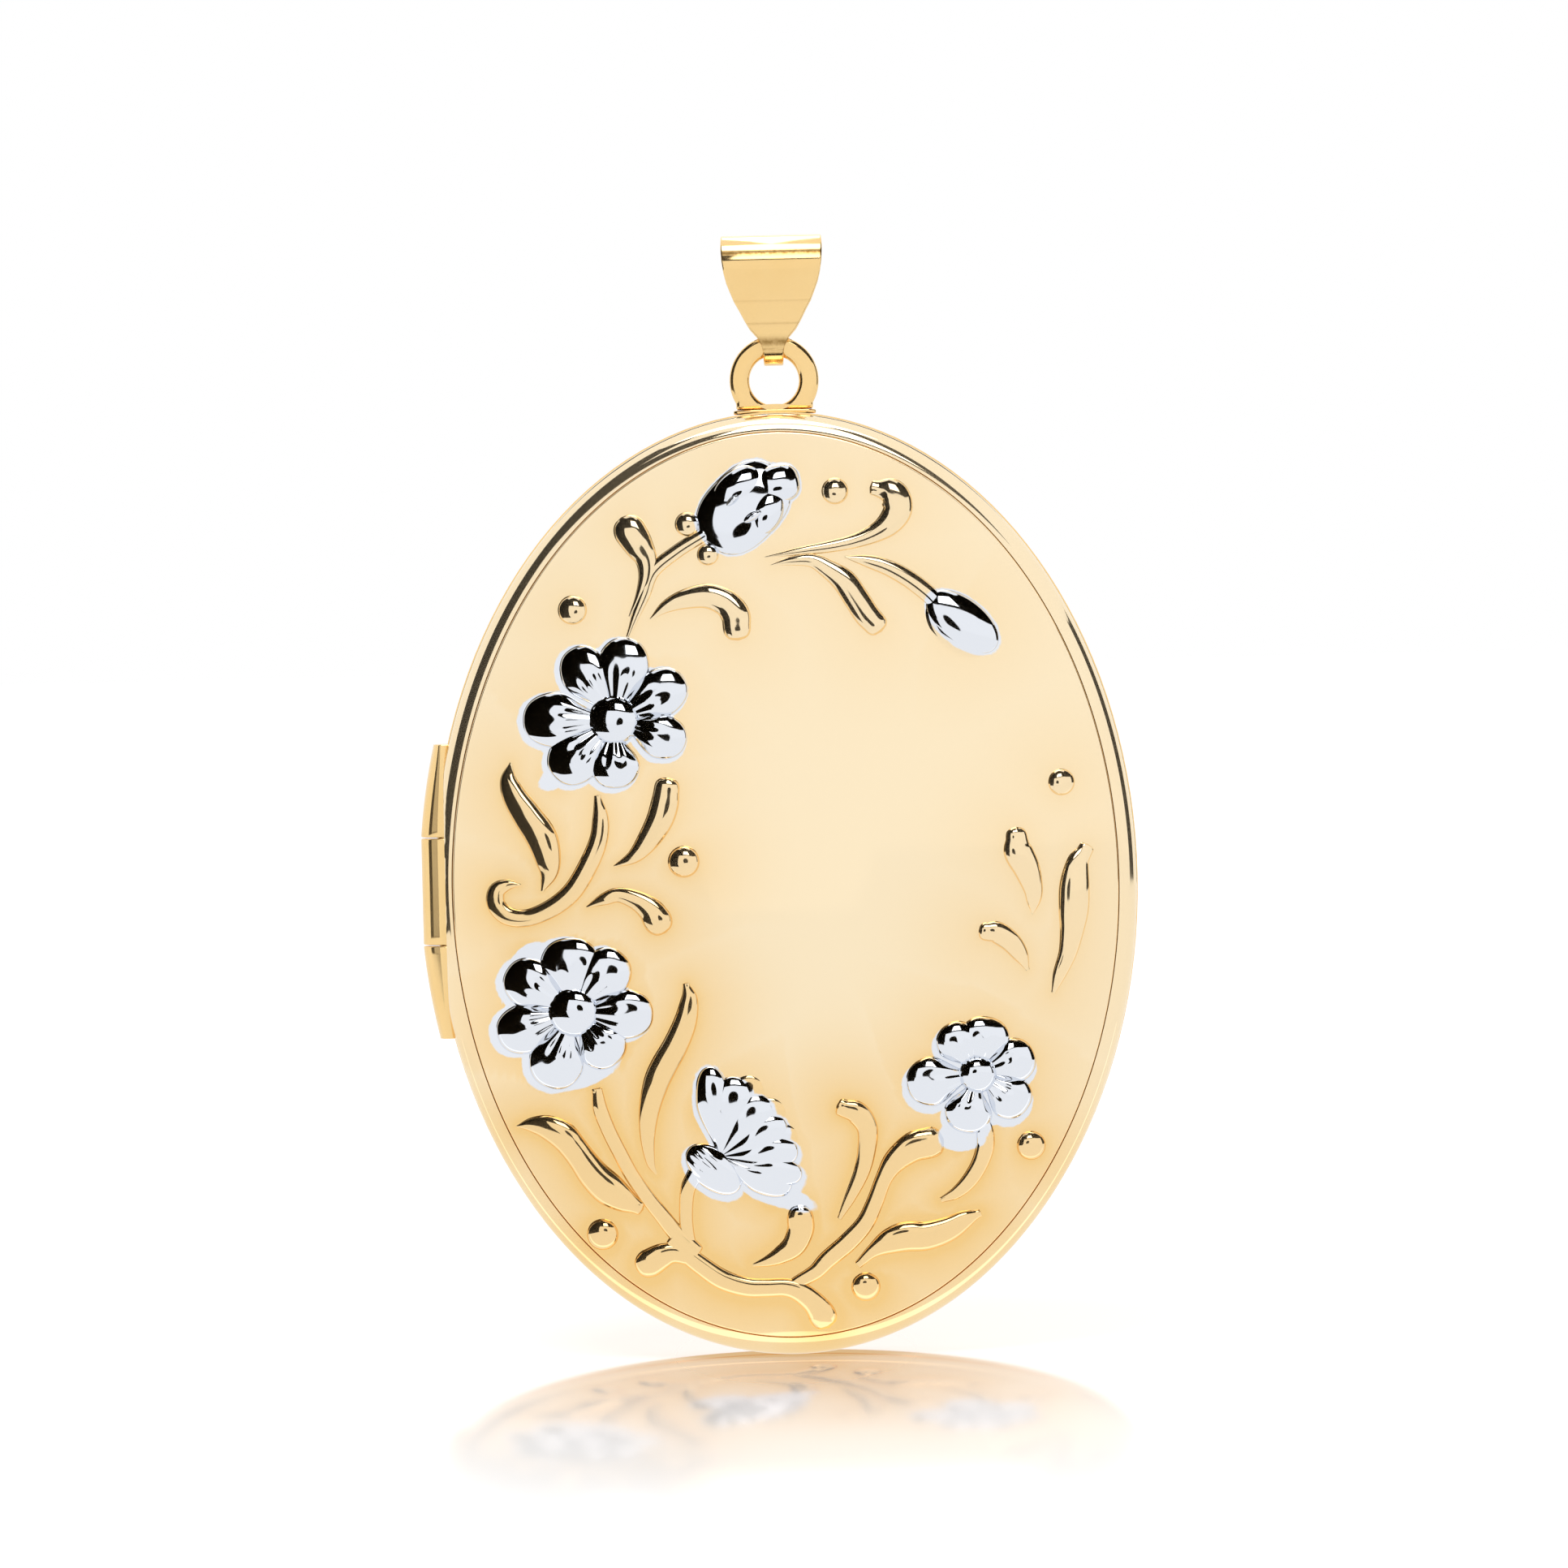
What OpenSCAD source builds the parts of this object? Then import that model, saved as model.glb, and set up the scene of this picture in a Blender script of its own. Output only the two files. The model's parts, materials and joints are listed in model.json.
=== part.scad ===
// Oval locket: two hinged halves that hold a picture each, hung from a folded bail.
// +Z is up, the embossed front faces -Y, the hinge is on the -X side.
// The origin is the centre of the bail's eye, where the chain passes through.

/* [Body] */
// Height of the oval body
body_h = 40; // [32:1:50]
// Width of the oval body
body_w = 29.9; // [25:0.1:36]
// How far the front half's edge stands inside the back half's edge
seam_step = 0.1; // [0.05:0.05:0.2]
// Thickness of the stamped sheet of both covers
sheet = 0.4; // [0.3:0.05:0.6]
// Height of the upright skirt of each cover
skirt_h = 0.2; // [0.1:0.1:0.6]
// Radius of the rounded shoulder of each cover
shoulder_r = 0.8; // [0.5:0.1:1.2]
// Rise of the front dome above its shoulder
front_rise = 1.8; // [1.2:0.1:3]
// Rise of the plain back dome above its shoulder
back_rise = 1.5; // [0.8:0.1:3]

/* [Edge frames] */
// Depth of each half's edge frame
rim_h = 1.15; // [1.15:0.05:2]
// Width of each edge frame
rim_w = 1.8; // [1.8:0.1:2.4]
// Thickness of the plates that close the covers
liner_t = 0.3; // [0.2:0.05:0.5]
// Thickness of the snap band
band_t = 0.3; // [0.2:0.05:0.4]
// How far the snap band reaches into the front half
band_reach = 0.75; // [0.5:0.05:0.8]
// Half the length of the gap that the hinge leaves in the band
band_gap = 8.5; // [8:0.5:10]
// Radius of the snap band's catch pip
pip_r = 0.35; // [0.25:0.05:0.4]
// How far the catch pip stands proud of the band
pip_proud = 0.08; // [0.04:0.01:0.1]

/* [Pictures] */
// Width of a picture frame's lip
lip_w = 1.2; // [0.8:0.1:2]
// Thickness of a picture frame's lip
lip_t = 0.35; // [0.2:0.05:0.5]
// Wall of a picture frame
frame_wall = 0.4; // [0.3:0.05:0.5]
// Thickness of a clear window
window_t = 0.3; // [0.2:0.05:0.4]
// Distance from each frame's face to the plane where the halves meet
face_gap = 0.1; // [0.05:0.05:0.2]

/* [Hinge] */
// How far the hinge pin lies inside the widest point of the oval
pin_in = 0.53; // [0.4:0.01:0.7]
// Radius of the hinge pin
pin_r = 0.3; // [0.25:0.05:0.4]
// Clearance between the pin and the middle knuckle
pin_fit = 0.03; // [0.02:0.01:0.06]
// Radius of the knuckles
knuckle_r = 1; // [0.8:0.05:1]
// Clearance of a knuckle from the other half
knuckle_clear = 0.06; // [0.04:0.01:0.09]
// Half the length of the whole hinge
hinge_half = 6.23; // [5:0.01:7]
// Half the length of the middle knuckle
middle_half = 2.25; // [1.5:0.05:3]
// Gap between neighbouring knuckles
knuckle_gap = 0.06; // [0.04:0.01:0.1]
// How far the knuckles stand out from the oval edge
knuckle_proud = 0.57; // [0.4:0.01:0.7]
// Thickness of the flat strips that carry the knuckles
bearer_t = 0.8; // [0.6:0.1:1.2]

/* [Ring and bail] */
// Inner radius of the ring
ring_in_r = 1.05; // [0.9:0.05:1.3]
// Outer radius of the ring
ring_out_r = 1.89; // [1.7:0.01:2.1]
// Thickness of the ring
ring_t = 0.7; // [0.5:0.05:0.8]
// Height of the ring's centre above the top edge of the body
ring_lift = 1.34; // [1.2:0.01:1.6]
// Half the width of the ring's neck
neck_half = 1.63; // [1.4:0.01:1.7]
// Distance from the ring's plane to the plane where the halves meet
ring_y = 0.5; // [0.45:0.05:0.7]
// Outer radius of the bail's top fold
fold_r = 1.35; // [1.2:0.05:1.6]
// Clearance between the ring's bar and the bail's narrow end
tip_fit = 0.15; // [0.1:0.01:0.25]
// Thickness of the bail's strip
bail_t = 0.28; // [0.2:0.02:0.3]
// Distance from the bail's eye to the ring's bar
bail_drop = 3.33; // [3:0.01:4]
// Half the width of the bail at its top fold
bail_top_half = 2.15; // [1.8:0.05:2.6]
// Half the width of the bail where it passes the ring
bail_tip_half = 0.42; // [0.35:0.01:0.45]

/* [Hidden] */
$fn = 160;
half_w = body_w / 2;
half_h = body_h / 2;
pin_x = half_w - pin_in;
edge_bow_r = half_h * half_h / half_w;
ring_bar_r = (ring_in_r + ring_out_r) / 2;
ring_bar_half = (ring_out_r - ring_in_r) / 2;
tip_r = ring_bar_half + tip_fit + bail_t;
ring_z = -bail_drop - ring_bar_r;
body_z = ring_z - ring_lift - half_h;
fit_gap = 0.03;
solder_gap = 0.01;
front_inset = seam_step;
back_inset = 0;
band_in = rim_w + 0.02;
front_frame_in = band_in + band_t + 0.18;
back_frame_in = band_in + band_t + fit_gap;
liner_gap = 0.05;
window_gap = 0.05;
flange_h = 0.2;
hinge_cut_x = pin_x - 0.07;
pip_depth = 0.35;
pip_x = half_w - band_in + pip_proud - pip_r;
foot_half = neck_half + 0.12;
foot_rise = 0.12;
foot_sink = 0.4;
foot_from = 0.1;
foot_to = 1;
oval_sides = 144;
bend_step = 6;
dome_steps = 10;
shoulder_steps = 6;
corner_steps = 4;
beyond = 5;

// ---- Placing: each half is drawn flat with its depth upwards, then stood up ----

module front_half() translate([0, -ring_y, body_z]) rotate([90, 0, 0]) children();
module back_half() translate([0, -ring_y, body_z]) mirror([0, 1, 0]) rotate([90, 0, 0]) children();
module at_ring() translate([0, 0, ring_z]) children();

// ---- Shapes that repeat ----

// Oval disc whose edge lies inset from the body's outline
module oval(inset, z0, z1) {
    translate([0, 0, z0])
        linear_extrude(z1 - z0)
            polygon([for (i = [0:oval_sides - 1])
                let (a = 360 * i / oval_sides)
                [(half_w - inset) * cos(a), (half_h - inset) * sin(a)]]);
}

// Half outline of a domed cover: upright skirt, round shoulder, shallow dome
function dome_outline(r, skirt, shoulder, rise) =
    let (dome_r = ((r - shoulder) ^ 2 + rise ^ 2) / (2 * rise),
         tilt = asin((r - shoulder) / dome_r),
         foot = skirt + shoulder)
    concat(
        [[0, 0], [r, 0]],
        [for (i = [0:shoulder_steps])
            let (a = i / shoulder_steps * (90 - tilt))
            [r - shoulder + shoulder * cos(a), skirt + shoulder * sin(a)]],
        [for (i = [1:dome_steps])
            let (a = tilt * (1 - i / dome_steps))
            [i == dome_steps ? 0 : dome_r * sin(a), foot + rise - dome_r + dome_r * cos(a)]]);

// Solid dome on top of an edge frame
module dome(inset, rise, shoulder) {
    r = half_h - inset;
    translate([0, 0, rim_h])
        scale([(half_w - inset) / r, 1, 1])
            rotate_extrude()
                polygon(dome_outline(r, skirt_h, shoulder, rise));
}

// The space left of a plane along the hinge, where the knuckles stand
module hinge_space(from_x, half_length) {
    translate([-half_w - beyond, -half_length, -2 * beyond])
        cube([half_w + beyond - from_x, 2 * half_length, 4 * beyond]);
}

// Round bar along the hinge pin, between two heights
module hinge_bar(r, from, to) {
    translate([-pin_x, from, 0]) rotate([-90, 0, 0]) cylinder(r = r, h = to - from);
}

// ---- Parts of both halves ----

// Stamped sheet: dome, shoulder and skirt, cut away at the hinge
module cover(inset, rise) {
    difference() {
        dome(inset, rise, shoulder_r);
        dome(inset + sheet, rise, shoulder_r - sheet);
        hinge_space(hinge_cut_x, hinge_half + knuckle_gap);
    }
}

// Flat strip behind the knuckles, under the cover
module hinge_bearer(inset, rise) {
    intersection() {
        dome(inset + sheet + fit_gap, rise, shoulder_r - sheet - fit_gap);
        translate([-hinge_cut_x, -hinge_half, rim_h])
            cube([bearer_t, 2 * hinge_half, shoulder_r]);
    }
}

// Edge frame without the grooves for the knuckles
module rim(inset) {
    difference() {
        oval(inset, 0, rim_h);
        oval(rim_w, -beyond, beyond);
        hinge_space(hinge_cut_x, hinge_half + knuckle_gap);
    }
}

// Plate that closes the hollow cover and carries the picture
module liner(inset) {
    difference() {
        oval(inset + sheet + liner_gap, rim_h, rim_h + liner_t);
        hinge_space(hinge_cut_x - bearer_t - liner_gap, hinge_half + knuckle_gap);
    }
}

// Hinge tube, ground outside to the curve of the oval
module knuckle(from, to, bore_r) {
    intersection() {
        difference() {
            hinge_bar(knuckle_r, from, to);
            hinge_bar(bore_r, from - 1, to + 1);
        }
        translate([edge_bow_r - half_w, 0, -beyond])
            cylinder(r = edge_bow_r + knuckle_proud, h = 2 * beyond);
    }
}

// Hollow of a picture frame: open middle, and a seat for window and card
module frame_hollow(inset) {
    oval(inset + lip_w, -beyond, beyond);
    oval(inset + frame_wall, face_gap + lip_t, beyond);
}

module window(inset) {
    oval(inset + frame_wall + window_gap, face_gap + lip_t, face_gap + lip_t + window_t);
}

module photo_card(inset) {
    oval(inset + frame_wall + window_gap, face_gap + lip_t + window_t, rim_h);
}

// ---- Back half ----

module back_cover() color("goldenrod") back_half() cover(back_inset, back_rise);

module back_rim() color("gold") back_half() difference() {
    rim(back_inset);
    hinge_bar(knuckle_r, middle_half + knuckle_gap, hinge_half);
    hinge_bar(knuckle_r, -hinge_half, -middle_half - knuckle_gap);
    hinge_bar(knuckle_r + knuckle_clear, -middle_half - knuckle_gap, middle_half + knuckle_gap);
}

module back_liner() color("darkgoldenrod") back_half() liner(back_inset);

// Springy lip with a pip opposite the hinge
module snap_band() color("khaki") back_half() difference() {
    union() {
        oval(band_in, -band_reach, rim_h);
        translate([pip_x, 0, -pip_depth]) sphere(r = pip_r);
    }
    oval(band_in + band_t, -beyond, beyond);
    hinge_space(0, band_gap);
}

module back_hinge_bearer() color("gold") back_half() hinge_bearer(back_inset, back_rise);

module hinge_knuckle_upper() color("orange") back_half()
    knuckle(middle_half + knuckle_gap, hinge_half, pin_r);

module hinge_knuckle_lower() color("orange") back_half()
    knuckle(-hinge_half, -middle_half - knuckle_gap, pin_r);

module hinge_pin() color("silver") back_half() hinge_bar(pin_r, -hinge_half, hinge_half);

module back_photo_card() color("ivory") back_half() photo_card(back_frame_in);

module back_window() color("lightblue", 0.5) back_half() window(back_frame_in);

module back_photo_frame() color("gold") back_half() difference() {
    oval(back_frame_in, face_gap, rim_h);
    frame_hollow(back_frame_in);
}

// ---- Ring and foot, on the back half's top edge ----

// Section of the ring: a bar with rounded corners
function bar_section(half_x, half_y, corner) =
    [for (q = [0:3], i = [0:corner_steps])
        let (a = 90 * q + 90 * i / corner_steps,
             sx = (q == 0 || q == 3) ? 1 : -1,
             sy = q < 2 ? 1 : -1)
        [sx * (half_x - corner) + corner * cos(a), sy * (half_y - corner) + corner * sin(a)]];

module ring_disc(r) rotate([90, 0, 0]) cylinder(r = r, h = ring_t, center = true);

module bail_ring() color("gold") at_ring() difference() {
    union() {
        rotate([90, 0, 0])
            rotate_extrude()
                translate([ring_bar_r, 0])
                    polygon(bar_section(ring_bar_half, ring_t / 2, ring_t / 3));
        difference() {
            translate([-neck_half, -ring_t / 2, -ring_lift])
                cube([2 * neck_half, ring_t, ring_lift - ring_in_r + ring_t / 8]);
            ring_disc(ring_in_r + ring_t / 4);
        }
    }
    translate([-beyond, -beyond, foot_rise - ring_lift - 2 * beyond]) cube(2 * beyond);
}

// Bar that fits the curve of the back half's top edge
module ring_foot() color("gold") back_half() difference() {
    translate([-foot_half, half_h - foot_sink, foot_from])
        cube([2 * foot_half, foot_sink + foot_rise, foot_to - foot_from]);
    oval(-solder_gap, -beyond, beyond);
}

// ---- Bail ----

// Points round the bail's two bends, seen from the side
function bail_bends(top_r, tip_radius) =
    let (lean = asin((top_r - tip_radius) / bail_drop),
         top_steps = round((180 + 2 * lean) / bend_step),
         tip_steps = round((180 - 2 * lean) / bend_step))
    concat(
        [for (i = [0:top_steps])
            let (a = -lean + i / top_steps * (180 + 2 * lean))
            [top_r * cos(a), top_r * sin(a)]],
        [for (i = [0:tip_steps])
            let (a = 180 + lean + i / tip_steps * (180 - 2 * lean))
            [tip_radius * cos(a), tip_radius * sin(a) - bail_drop]]);

module bail_side(inset, width) {
    rotate([90, 0, 90])
        linear_extrude(width, center = true)
            polygon(bail_bends(fold_r - inset, tip_r - inset));
}

// Front outline: straight sides under the fold, then a taper to the tip
module bail_front() {
    side = [
        [bail_top_half - 0.1, fold_r + 1],
        [bail_top_half, fold_r / 2],
        [bail_top_half - 0.15, -fold_r / 3],
        [bail_tip_half + 0.4, -bail_drop + tip_r],
        [bail_tip_half, -bail_drop - tip_r / 3],
        [bail_tip_half, -bail_drop - 2 * tip_r]];
    rotate([90, 0, 0])
        linear_extrude(4 * fold_r, center = true)
            polygon(concat(side, [for (i = [len(side) - 1:-1:0]) [-side[i].x, side[i].y]]));
}

module bail() color("gold") intersection() {
    difference() {
        bail_side(0, 3 * bail_top_half);
        bail_side(bail_t, 4 * bail_top_half);
    }
    bail_front();
}

// ---- Front half ----

module front_cover() color("gold") front_half() cover(front_inset, front_rise);

module front_rim() color("gold") front_half() difference() {
    rim(front_inset);
    hinge_bar(knuckle_r, -middle_half, middle_half);
    hinge_bar(knuckle_r + knuckle_clear, middle_half, hinge_half + 2 * knuckle_gap);
    hinge_bar(knuckle_r + knuckle_clear, -hinge_half - 2 * knuckle_gap, -middle_half);
    translate([pip_x, 0, pip_depth]) sphere(r = pip_r + 2 * fit_gap);
}

module front_liner() color("darkgoldenrod") front_half() liner(front_inset);

module front_hinge_bearer() color("gold") front_half() hinge_bearer(front_inset, front_rise);

module hinge_knuckle_middle() color("orangered") front_half()
    knuckle(-middle_half, middle_half, pin_r + pin_fit);

module front_photo_card() color("ivory") front_half() photo_card(front_frame_in);

module front_window() color("lightblue", 0.5) front_half() window(front_frame_in);

// The front frame also has a flange that centres it in the edge frame
module front_photo_frame() color("gold") front_half() difference() {
    union() {
        oval(front_frame_in, face_gap, rim_h - flange_h / 2);
        oval(rim_w + fit_gap, rim_h - flange_h, rim_h);
    }
    frame_hollow(front_frame_in);
}

bail();
bail_ring();
ring_foot();
back_cover();
back_rim();
back_liner();
snap_band();
back_hinge_bearer();
hinge_knuckle_upper();
hinge_knuckle_lower();
hinge_pin();
back_photo_card();
back_window();
back_photo_frame();
front_cover();
front_rim();
front_liner();
front_hinge_bearer();
hinge_knuckle_middle();
front_photo_card();
front_window();
front_photo_frame();
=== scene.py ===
import json
import math
import bpy
import numpy as np
from mathutils import Matrix, Vector
from mathutils.kdtree import KDTree

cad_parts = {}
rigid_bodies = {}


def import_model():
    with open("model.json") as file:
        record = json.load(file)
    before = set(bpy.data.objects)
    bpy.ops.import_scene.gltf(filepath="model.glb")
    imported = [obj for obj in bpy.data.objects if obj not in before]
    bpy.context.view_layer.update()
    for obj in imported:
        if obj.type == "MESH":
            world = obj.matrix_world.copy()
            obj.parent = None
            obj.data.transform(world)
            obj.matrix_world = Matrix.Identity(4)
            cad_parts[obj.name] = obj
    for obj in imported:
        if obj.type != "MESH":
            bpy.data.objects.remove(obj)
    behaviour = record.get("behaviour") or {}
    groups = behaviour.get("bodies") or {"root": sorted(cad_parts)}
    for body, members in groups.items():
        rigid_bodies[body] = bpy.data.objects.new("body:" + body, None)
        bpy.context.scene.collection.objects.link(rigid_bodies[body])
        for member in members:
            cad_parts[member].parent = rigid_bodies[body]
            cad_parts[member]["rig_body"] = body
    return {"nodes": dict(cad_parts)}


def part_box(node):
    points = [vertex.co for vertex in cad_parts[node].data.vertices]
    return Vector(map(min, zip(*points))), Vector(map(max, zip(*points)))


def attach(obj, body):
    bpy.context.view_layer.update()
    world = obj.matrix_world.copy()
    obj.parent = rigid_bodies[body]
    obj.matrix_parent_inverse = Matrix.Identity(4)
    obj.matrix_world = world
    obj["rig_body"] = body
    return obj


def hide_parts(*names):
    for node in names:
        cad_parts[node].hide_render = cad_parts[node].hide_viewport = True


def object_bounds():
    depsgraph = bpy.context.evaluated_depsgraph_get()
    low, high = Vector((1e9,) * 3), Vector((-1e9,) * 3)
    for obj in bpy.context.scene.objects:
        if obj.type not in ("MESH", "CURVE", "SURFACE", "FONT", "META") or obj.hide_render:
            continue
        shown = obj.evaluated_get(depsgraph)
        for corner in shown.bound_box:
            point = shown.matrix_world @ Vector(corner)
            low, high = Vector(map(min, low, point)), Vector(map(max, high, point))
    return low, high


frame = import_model()
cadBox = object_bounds()
mm = 0.001
print("frame loaded:", len(frame["nodes"]), "nodes")


# helpers

def linearColour(code):  # sRGB hex to the linear colour that the shader wants
    parts = [int(code[i:i + 2], 16) / 255 for i in (0, 2, 4)]
    return tuple(p / 12.92 if p <= 0.04045 else ((p + 0.055) / 1.055) ** 2.4 for p in parts) + (1,)


def addNode(tree, kind, settings=None, links=None):
    node = tree.nodes.new("ShaderNode" + kind)
    for key, value in (settings or {}).items():
        if isinstance(key, int) or key in node.inputs:
            node.inputs[key].default_value = value
        else:
            setattr(node, key, value)
    for key, source in (links or {}).items():  # a node stands for its first output
        socket = source.outputs[0] if hasattr(source, "outputs") else source
        tree.links.new(socket, node.inputs[key])
    return node


def newMaterial(name):
    material = bpy.data.materials.new(name)
    material.use_nodes = True
    material.node_tree.nodes.clear()
    return material, material.node_tree


def activeAlone(obj):
    bpy.ops.object.select_all(action="DESELECT")
    obj.select_set(True)
    bpy.context.view_layer.objects.active = obj
    return obj


def joinAll(name, objects):
    activeAlone(objects[0])
    for obj in objects:
        obj.select_set(True)
    if len(objects) > 1:
        bpy.ops.object.join()
    joined = bpy.context.object
    joined.name = name
    return joined


def getPoints(obj):
    flat = np.zeros(len(obj.data.vertices) * 3)
    obj.data.vertices.foreach_get("co", flat)
    return flat.reshape(-1, 3)


def setPoints(obj, points):
    obj.data.vertices.foreach_set("co", np.asarray(points, float).ravel())
    obj.data.update()


def setAttribute(obj, name, values):
    layer = obj.data.attributes.new(name, "FLOAT", "POINT")
    layer.data.foreach_set("value", np.asarray(values, np.float32))


def startBall(segments, rings):
    # a ball to be reshaped: its points, how far each is from the pole axis, and the turn round it
    bpy.ops.mesh.primitive_uv_sphere_add(segments=segments, ring_count=rings, radius=1)
    obj = bpy.context.object
    ball = getPoints(obj)
    reach = np.minimum(np.hypot(ball[:, 0], ball[:, 1]), 1)
    return obj, ball, reach, np.arctan2(ball[:, 1], ball[:, 0])


def startLoop(around, across):
    # a closed bar to be reshaped: the turn of each point round the loop, and its numbers round
    # the loop and round the bar's section
    bpy.ops.mesh.primitive_torus_add(major_segments=around, minor_segments=across, major_radius=1,
                                     minor_radius=0.25)
    obj = bpy.context.object
    ring = getPoints(obj)
    turn = np.arctan2(ring[:, 1], ring[:, 0])
    outward = np.hypot(ring[:, 0], ring[:, 1]) - 1
    major = np.rint(turn / (2 * math.pi) * around).astype(int) % around
    minor = np.rint(np.arctan2(ring[:, 2], outward) / (2 * math.pi) * across).astype(int) % across
    return obj, turn, major, minor


def easeUp(value):
    value = np.clip(value, 0, 1)
    return value * value * (3 - 2 * value)


def finishPiece(obj, material, body, slot, *replaced):
    activeAlone(obj)
    bpy.ops.object.transform_apply(location=True, rotation=True, scale=True)
    bpy.ops.object.shade_smooth_by_angle(angle=math.radians(40))
    obj.data.materials.clear()
    obj.data.materials.append(material)
    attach(obj, body)
    if replaced:
        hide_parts(*replaced)
    return obj


# studio: camera, floor, tent of reflector cards, lamps

studio = {
    "target": (0.03, -1.5, -21.9),   # mm, what the lens is aimed at
    "distance": 300,                 # mm from lens to target
    "viewWidth": 66.32,              # mm seen across the frame at the target
    "elevation": 1.5,                # degrees
    "roll": -1.31,                   # degrees
    "hood": 48,                      # mm, radius of the dark lens hood
    "cardRadius": 520,               # mm from the locket to the reflector cards
    "floorSize": 6000,
    "floorColour": "F2F2F2",
    "floorLift": (0.27, 0.1),        # glow of the floor to the eye, and on the locket
    "floorLight": 0.97,              # brightness of the floor in reflections
    "glossColour": "E2D7D2",
    "glossRough": 0.14,
    "floorGloss": 0.92,              # share of mirror in the floor beside the locket
    "floorFade": 90,                 # mm over which that mirror fades out
    "floorNarrow": 2.4,              # how much sooner it fades out sideways
    "floorSlope": 11,                # degrees that the gloss leans to the viewer, to shorten its image
    "bailDarkReach": (12, 38),               # mm in front of the locket, a strip black only to the bail, painting a dark reflection on it
    "bailDarkWidth": 500,
    "glow": (3, 4.6),                # mm in front of the locket, bright strip for the lower border
    "glowWidth": 120,
    "glowLight": 1.5,
    "tent": (0.85, 1),               # strength of the white tent: as light, and as it is seen
}


def makeCamera():
    target = Vector(studio["target"]) * mm
    lift = math.radians(studio["elevation"])
    away = Vector((0, -math.cos(lift), math.sin(lift)))
    data = bpy.data.cameras.new("camera")
    data.sensor_width = 36
    data.lens = data.sensor_width * studio["distance"] / studio["viewWidth"]
    data.clip_start = 0.01
    camera = bpy.data.objects.new("camera", data)
    bpy.context.scene.collection.objects.link(camera)
    turn = away.to_track_quat("Z", "Y").to_matrix().to_4x4()
    roll = Matrix.Rotation(math.radians(studio["roll"]), 4, "Z")
    camera.matrix_world = Matrix.Translation(target + away * studio["distance"] * mm) @ turn @ roll
    bpy.context.scene.camera = camera
    return camera


def cardMaterial():
    # glowing card with a painted brightness, standing in for a matt white card lit from the front: every
    # card carries its own brightness
    material, tree = newMaterial("painted reflector card")
    light = addNode(tree, "Attribute", {"attribute_name": "light"})
    glow = addNode(tree, "Emission", {"Color": (1, 1, 1, 1)}, {"Strength": light.outputs["Fac"]})
    side = addNode(tree, "NewGeometry")
    clear = addNode(tree, "BsdfTransparent")
    both = addNode(tree, "MixShader", links={0: side.outputs["Backfacing"], 1: glow, 2: clear})
    addNode(tree, "OutputMaterial", links={"Surface": both})
    return material


# cards in degrees, azimuth 0 towards the camera and positive to the right; each one lights the
# pieces that are listed for it at the end, and is black to the rest; light is 1 where none is given
cards = {
    "rightFlag": {"azimuth": (82, 112), "elevation": (-3, 25)},
    "leftFlag": {"azimuth": (-84, -36), "elevation": (-6, 64)},
    "upperLeftFlag": {"azimuth": (-36, -9), "elevation": (25, 45)},
    "upperStrip": {"azimuth": (-9, 24), "elevation": (26, 31)},
    "upperRightFlag": {"azimuth": (24, 40), "elevation": (26, 64)},
    "backFlag": {"azimuth": (160, 200), "elevation": (-3, 6)},
    "softbox": {"azimuth": (-9, 24), "elevation": (31, 54), "light": 3},
    "topPanel": {"azimuth": (-60, 60), "elevation": (64, 90), "light": 4},
    "backPanel": {"azimuth": (172, 188), "elevation": (40, 90), "light": 4},
    "ceilingStrip": {"azimuth": (-36, 24), "elevation": (54, 64)},
    "leftCeiling": {"azimuth": (-36, -9), "elevation": (45, 54)},
    "leftWing": {"azimuth": (-108, -84), "elevation": (-6, 64)},
    "petalWing": {"azimuth": (-36, -28), "elevation": (-6, 25)},
    "lowWing": {"azimuth": (-108, -30), "elevation": (-22, -6)},
    "rightWing": {"azimuth": (40, 118), "elevation": (25, 64)},
    "hingeGlow": {"azimuth": (-66, -37), "elevation": (-6, 63), "light": 0.5, "nearer": 10},
    "floorBackdrop": {"azimuth": (150, 210), "elevation": (23, 36), "light": 1.5},
}
cardGrid = (48, 32)     # faces across and up, enough for a smooth curve


def makeCard(name, card, paint):
    radius = (studio["cardRadius"] - card.get("nearer", 0)) * mm
    centre = Vector(studio["target"]) * mm
    bpy.ops.mesh.primitive_grid_add(x_subdivisions=cardGrid[0], y_subdivisions=cardGrid[1], size=2)
    obj = bpy.context.object
    obj.name = name
    grid = getPoints(obj)
    azimuth = np.radians(np.interp(grid[:, 0], (-1, 1), card["azimuth"]))
    elevation = np.radians(np.interp(grid[:, 1], (-1, 1), card["elevation"]))
    setAttribute(obj, "light", np.full(len(grid), card.get("light", 1)))
    depth = centre.z - cadBox[0][2] - 0.3 * mm            # cards that reach the floor lie down on it
    radius = np.minimum(radius, depth / np.maximum(np.sin(-elevation), 1e-6))
    setPoints(obj, np.stack([
        centre.x + radius * np.sin(azimuth) * np.cos(elevation),
        centre.y - radius * np.cos(azimuth) * np.cos(elevation),
        centre.z + radius * np.sin(elevation)], axis=1))
    obj.data.materials.append(paint)
    obj.data.flip_normals()
    reflectOnly(obj)
    return obj


def reflectOnly(obj):  # seen in polished metal and nowhere else
    obj.visible_camera = False
    obj.visible_diffuse = False
    obj.visible_transmission = False
    obj.visible_shadow = False


def makeLensHood(camera, paint):  # dark front of the camera, a dot in every polished boss
    turn = camera.matrix_world.to_euler()
    bpy.ops.mesh.primitive_circle_add(vertices=64, radius=studio["hood"] * mm, fill_type="NGON",
                                      location=camera.matrix_world.translation, rotation=turn)
    hood = bpy.context.object
    hood.name = "lensHood"
    hood.data.materials.append(paint)
    setAttribute(hood, "light", np.ones(len(hood.data.vertices)))
    hood.data.flip_normals()
    reflectOnly(hood)
    return hood


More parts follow.
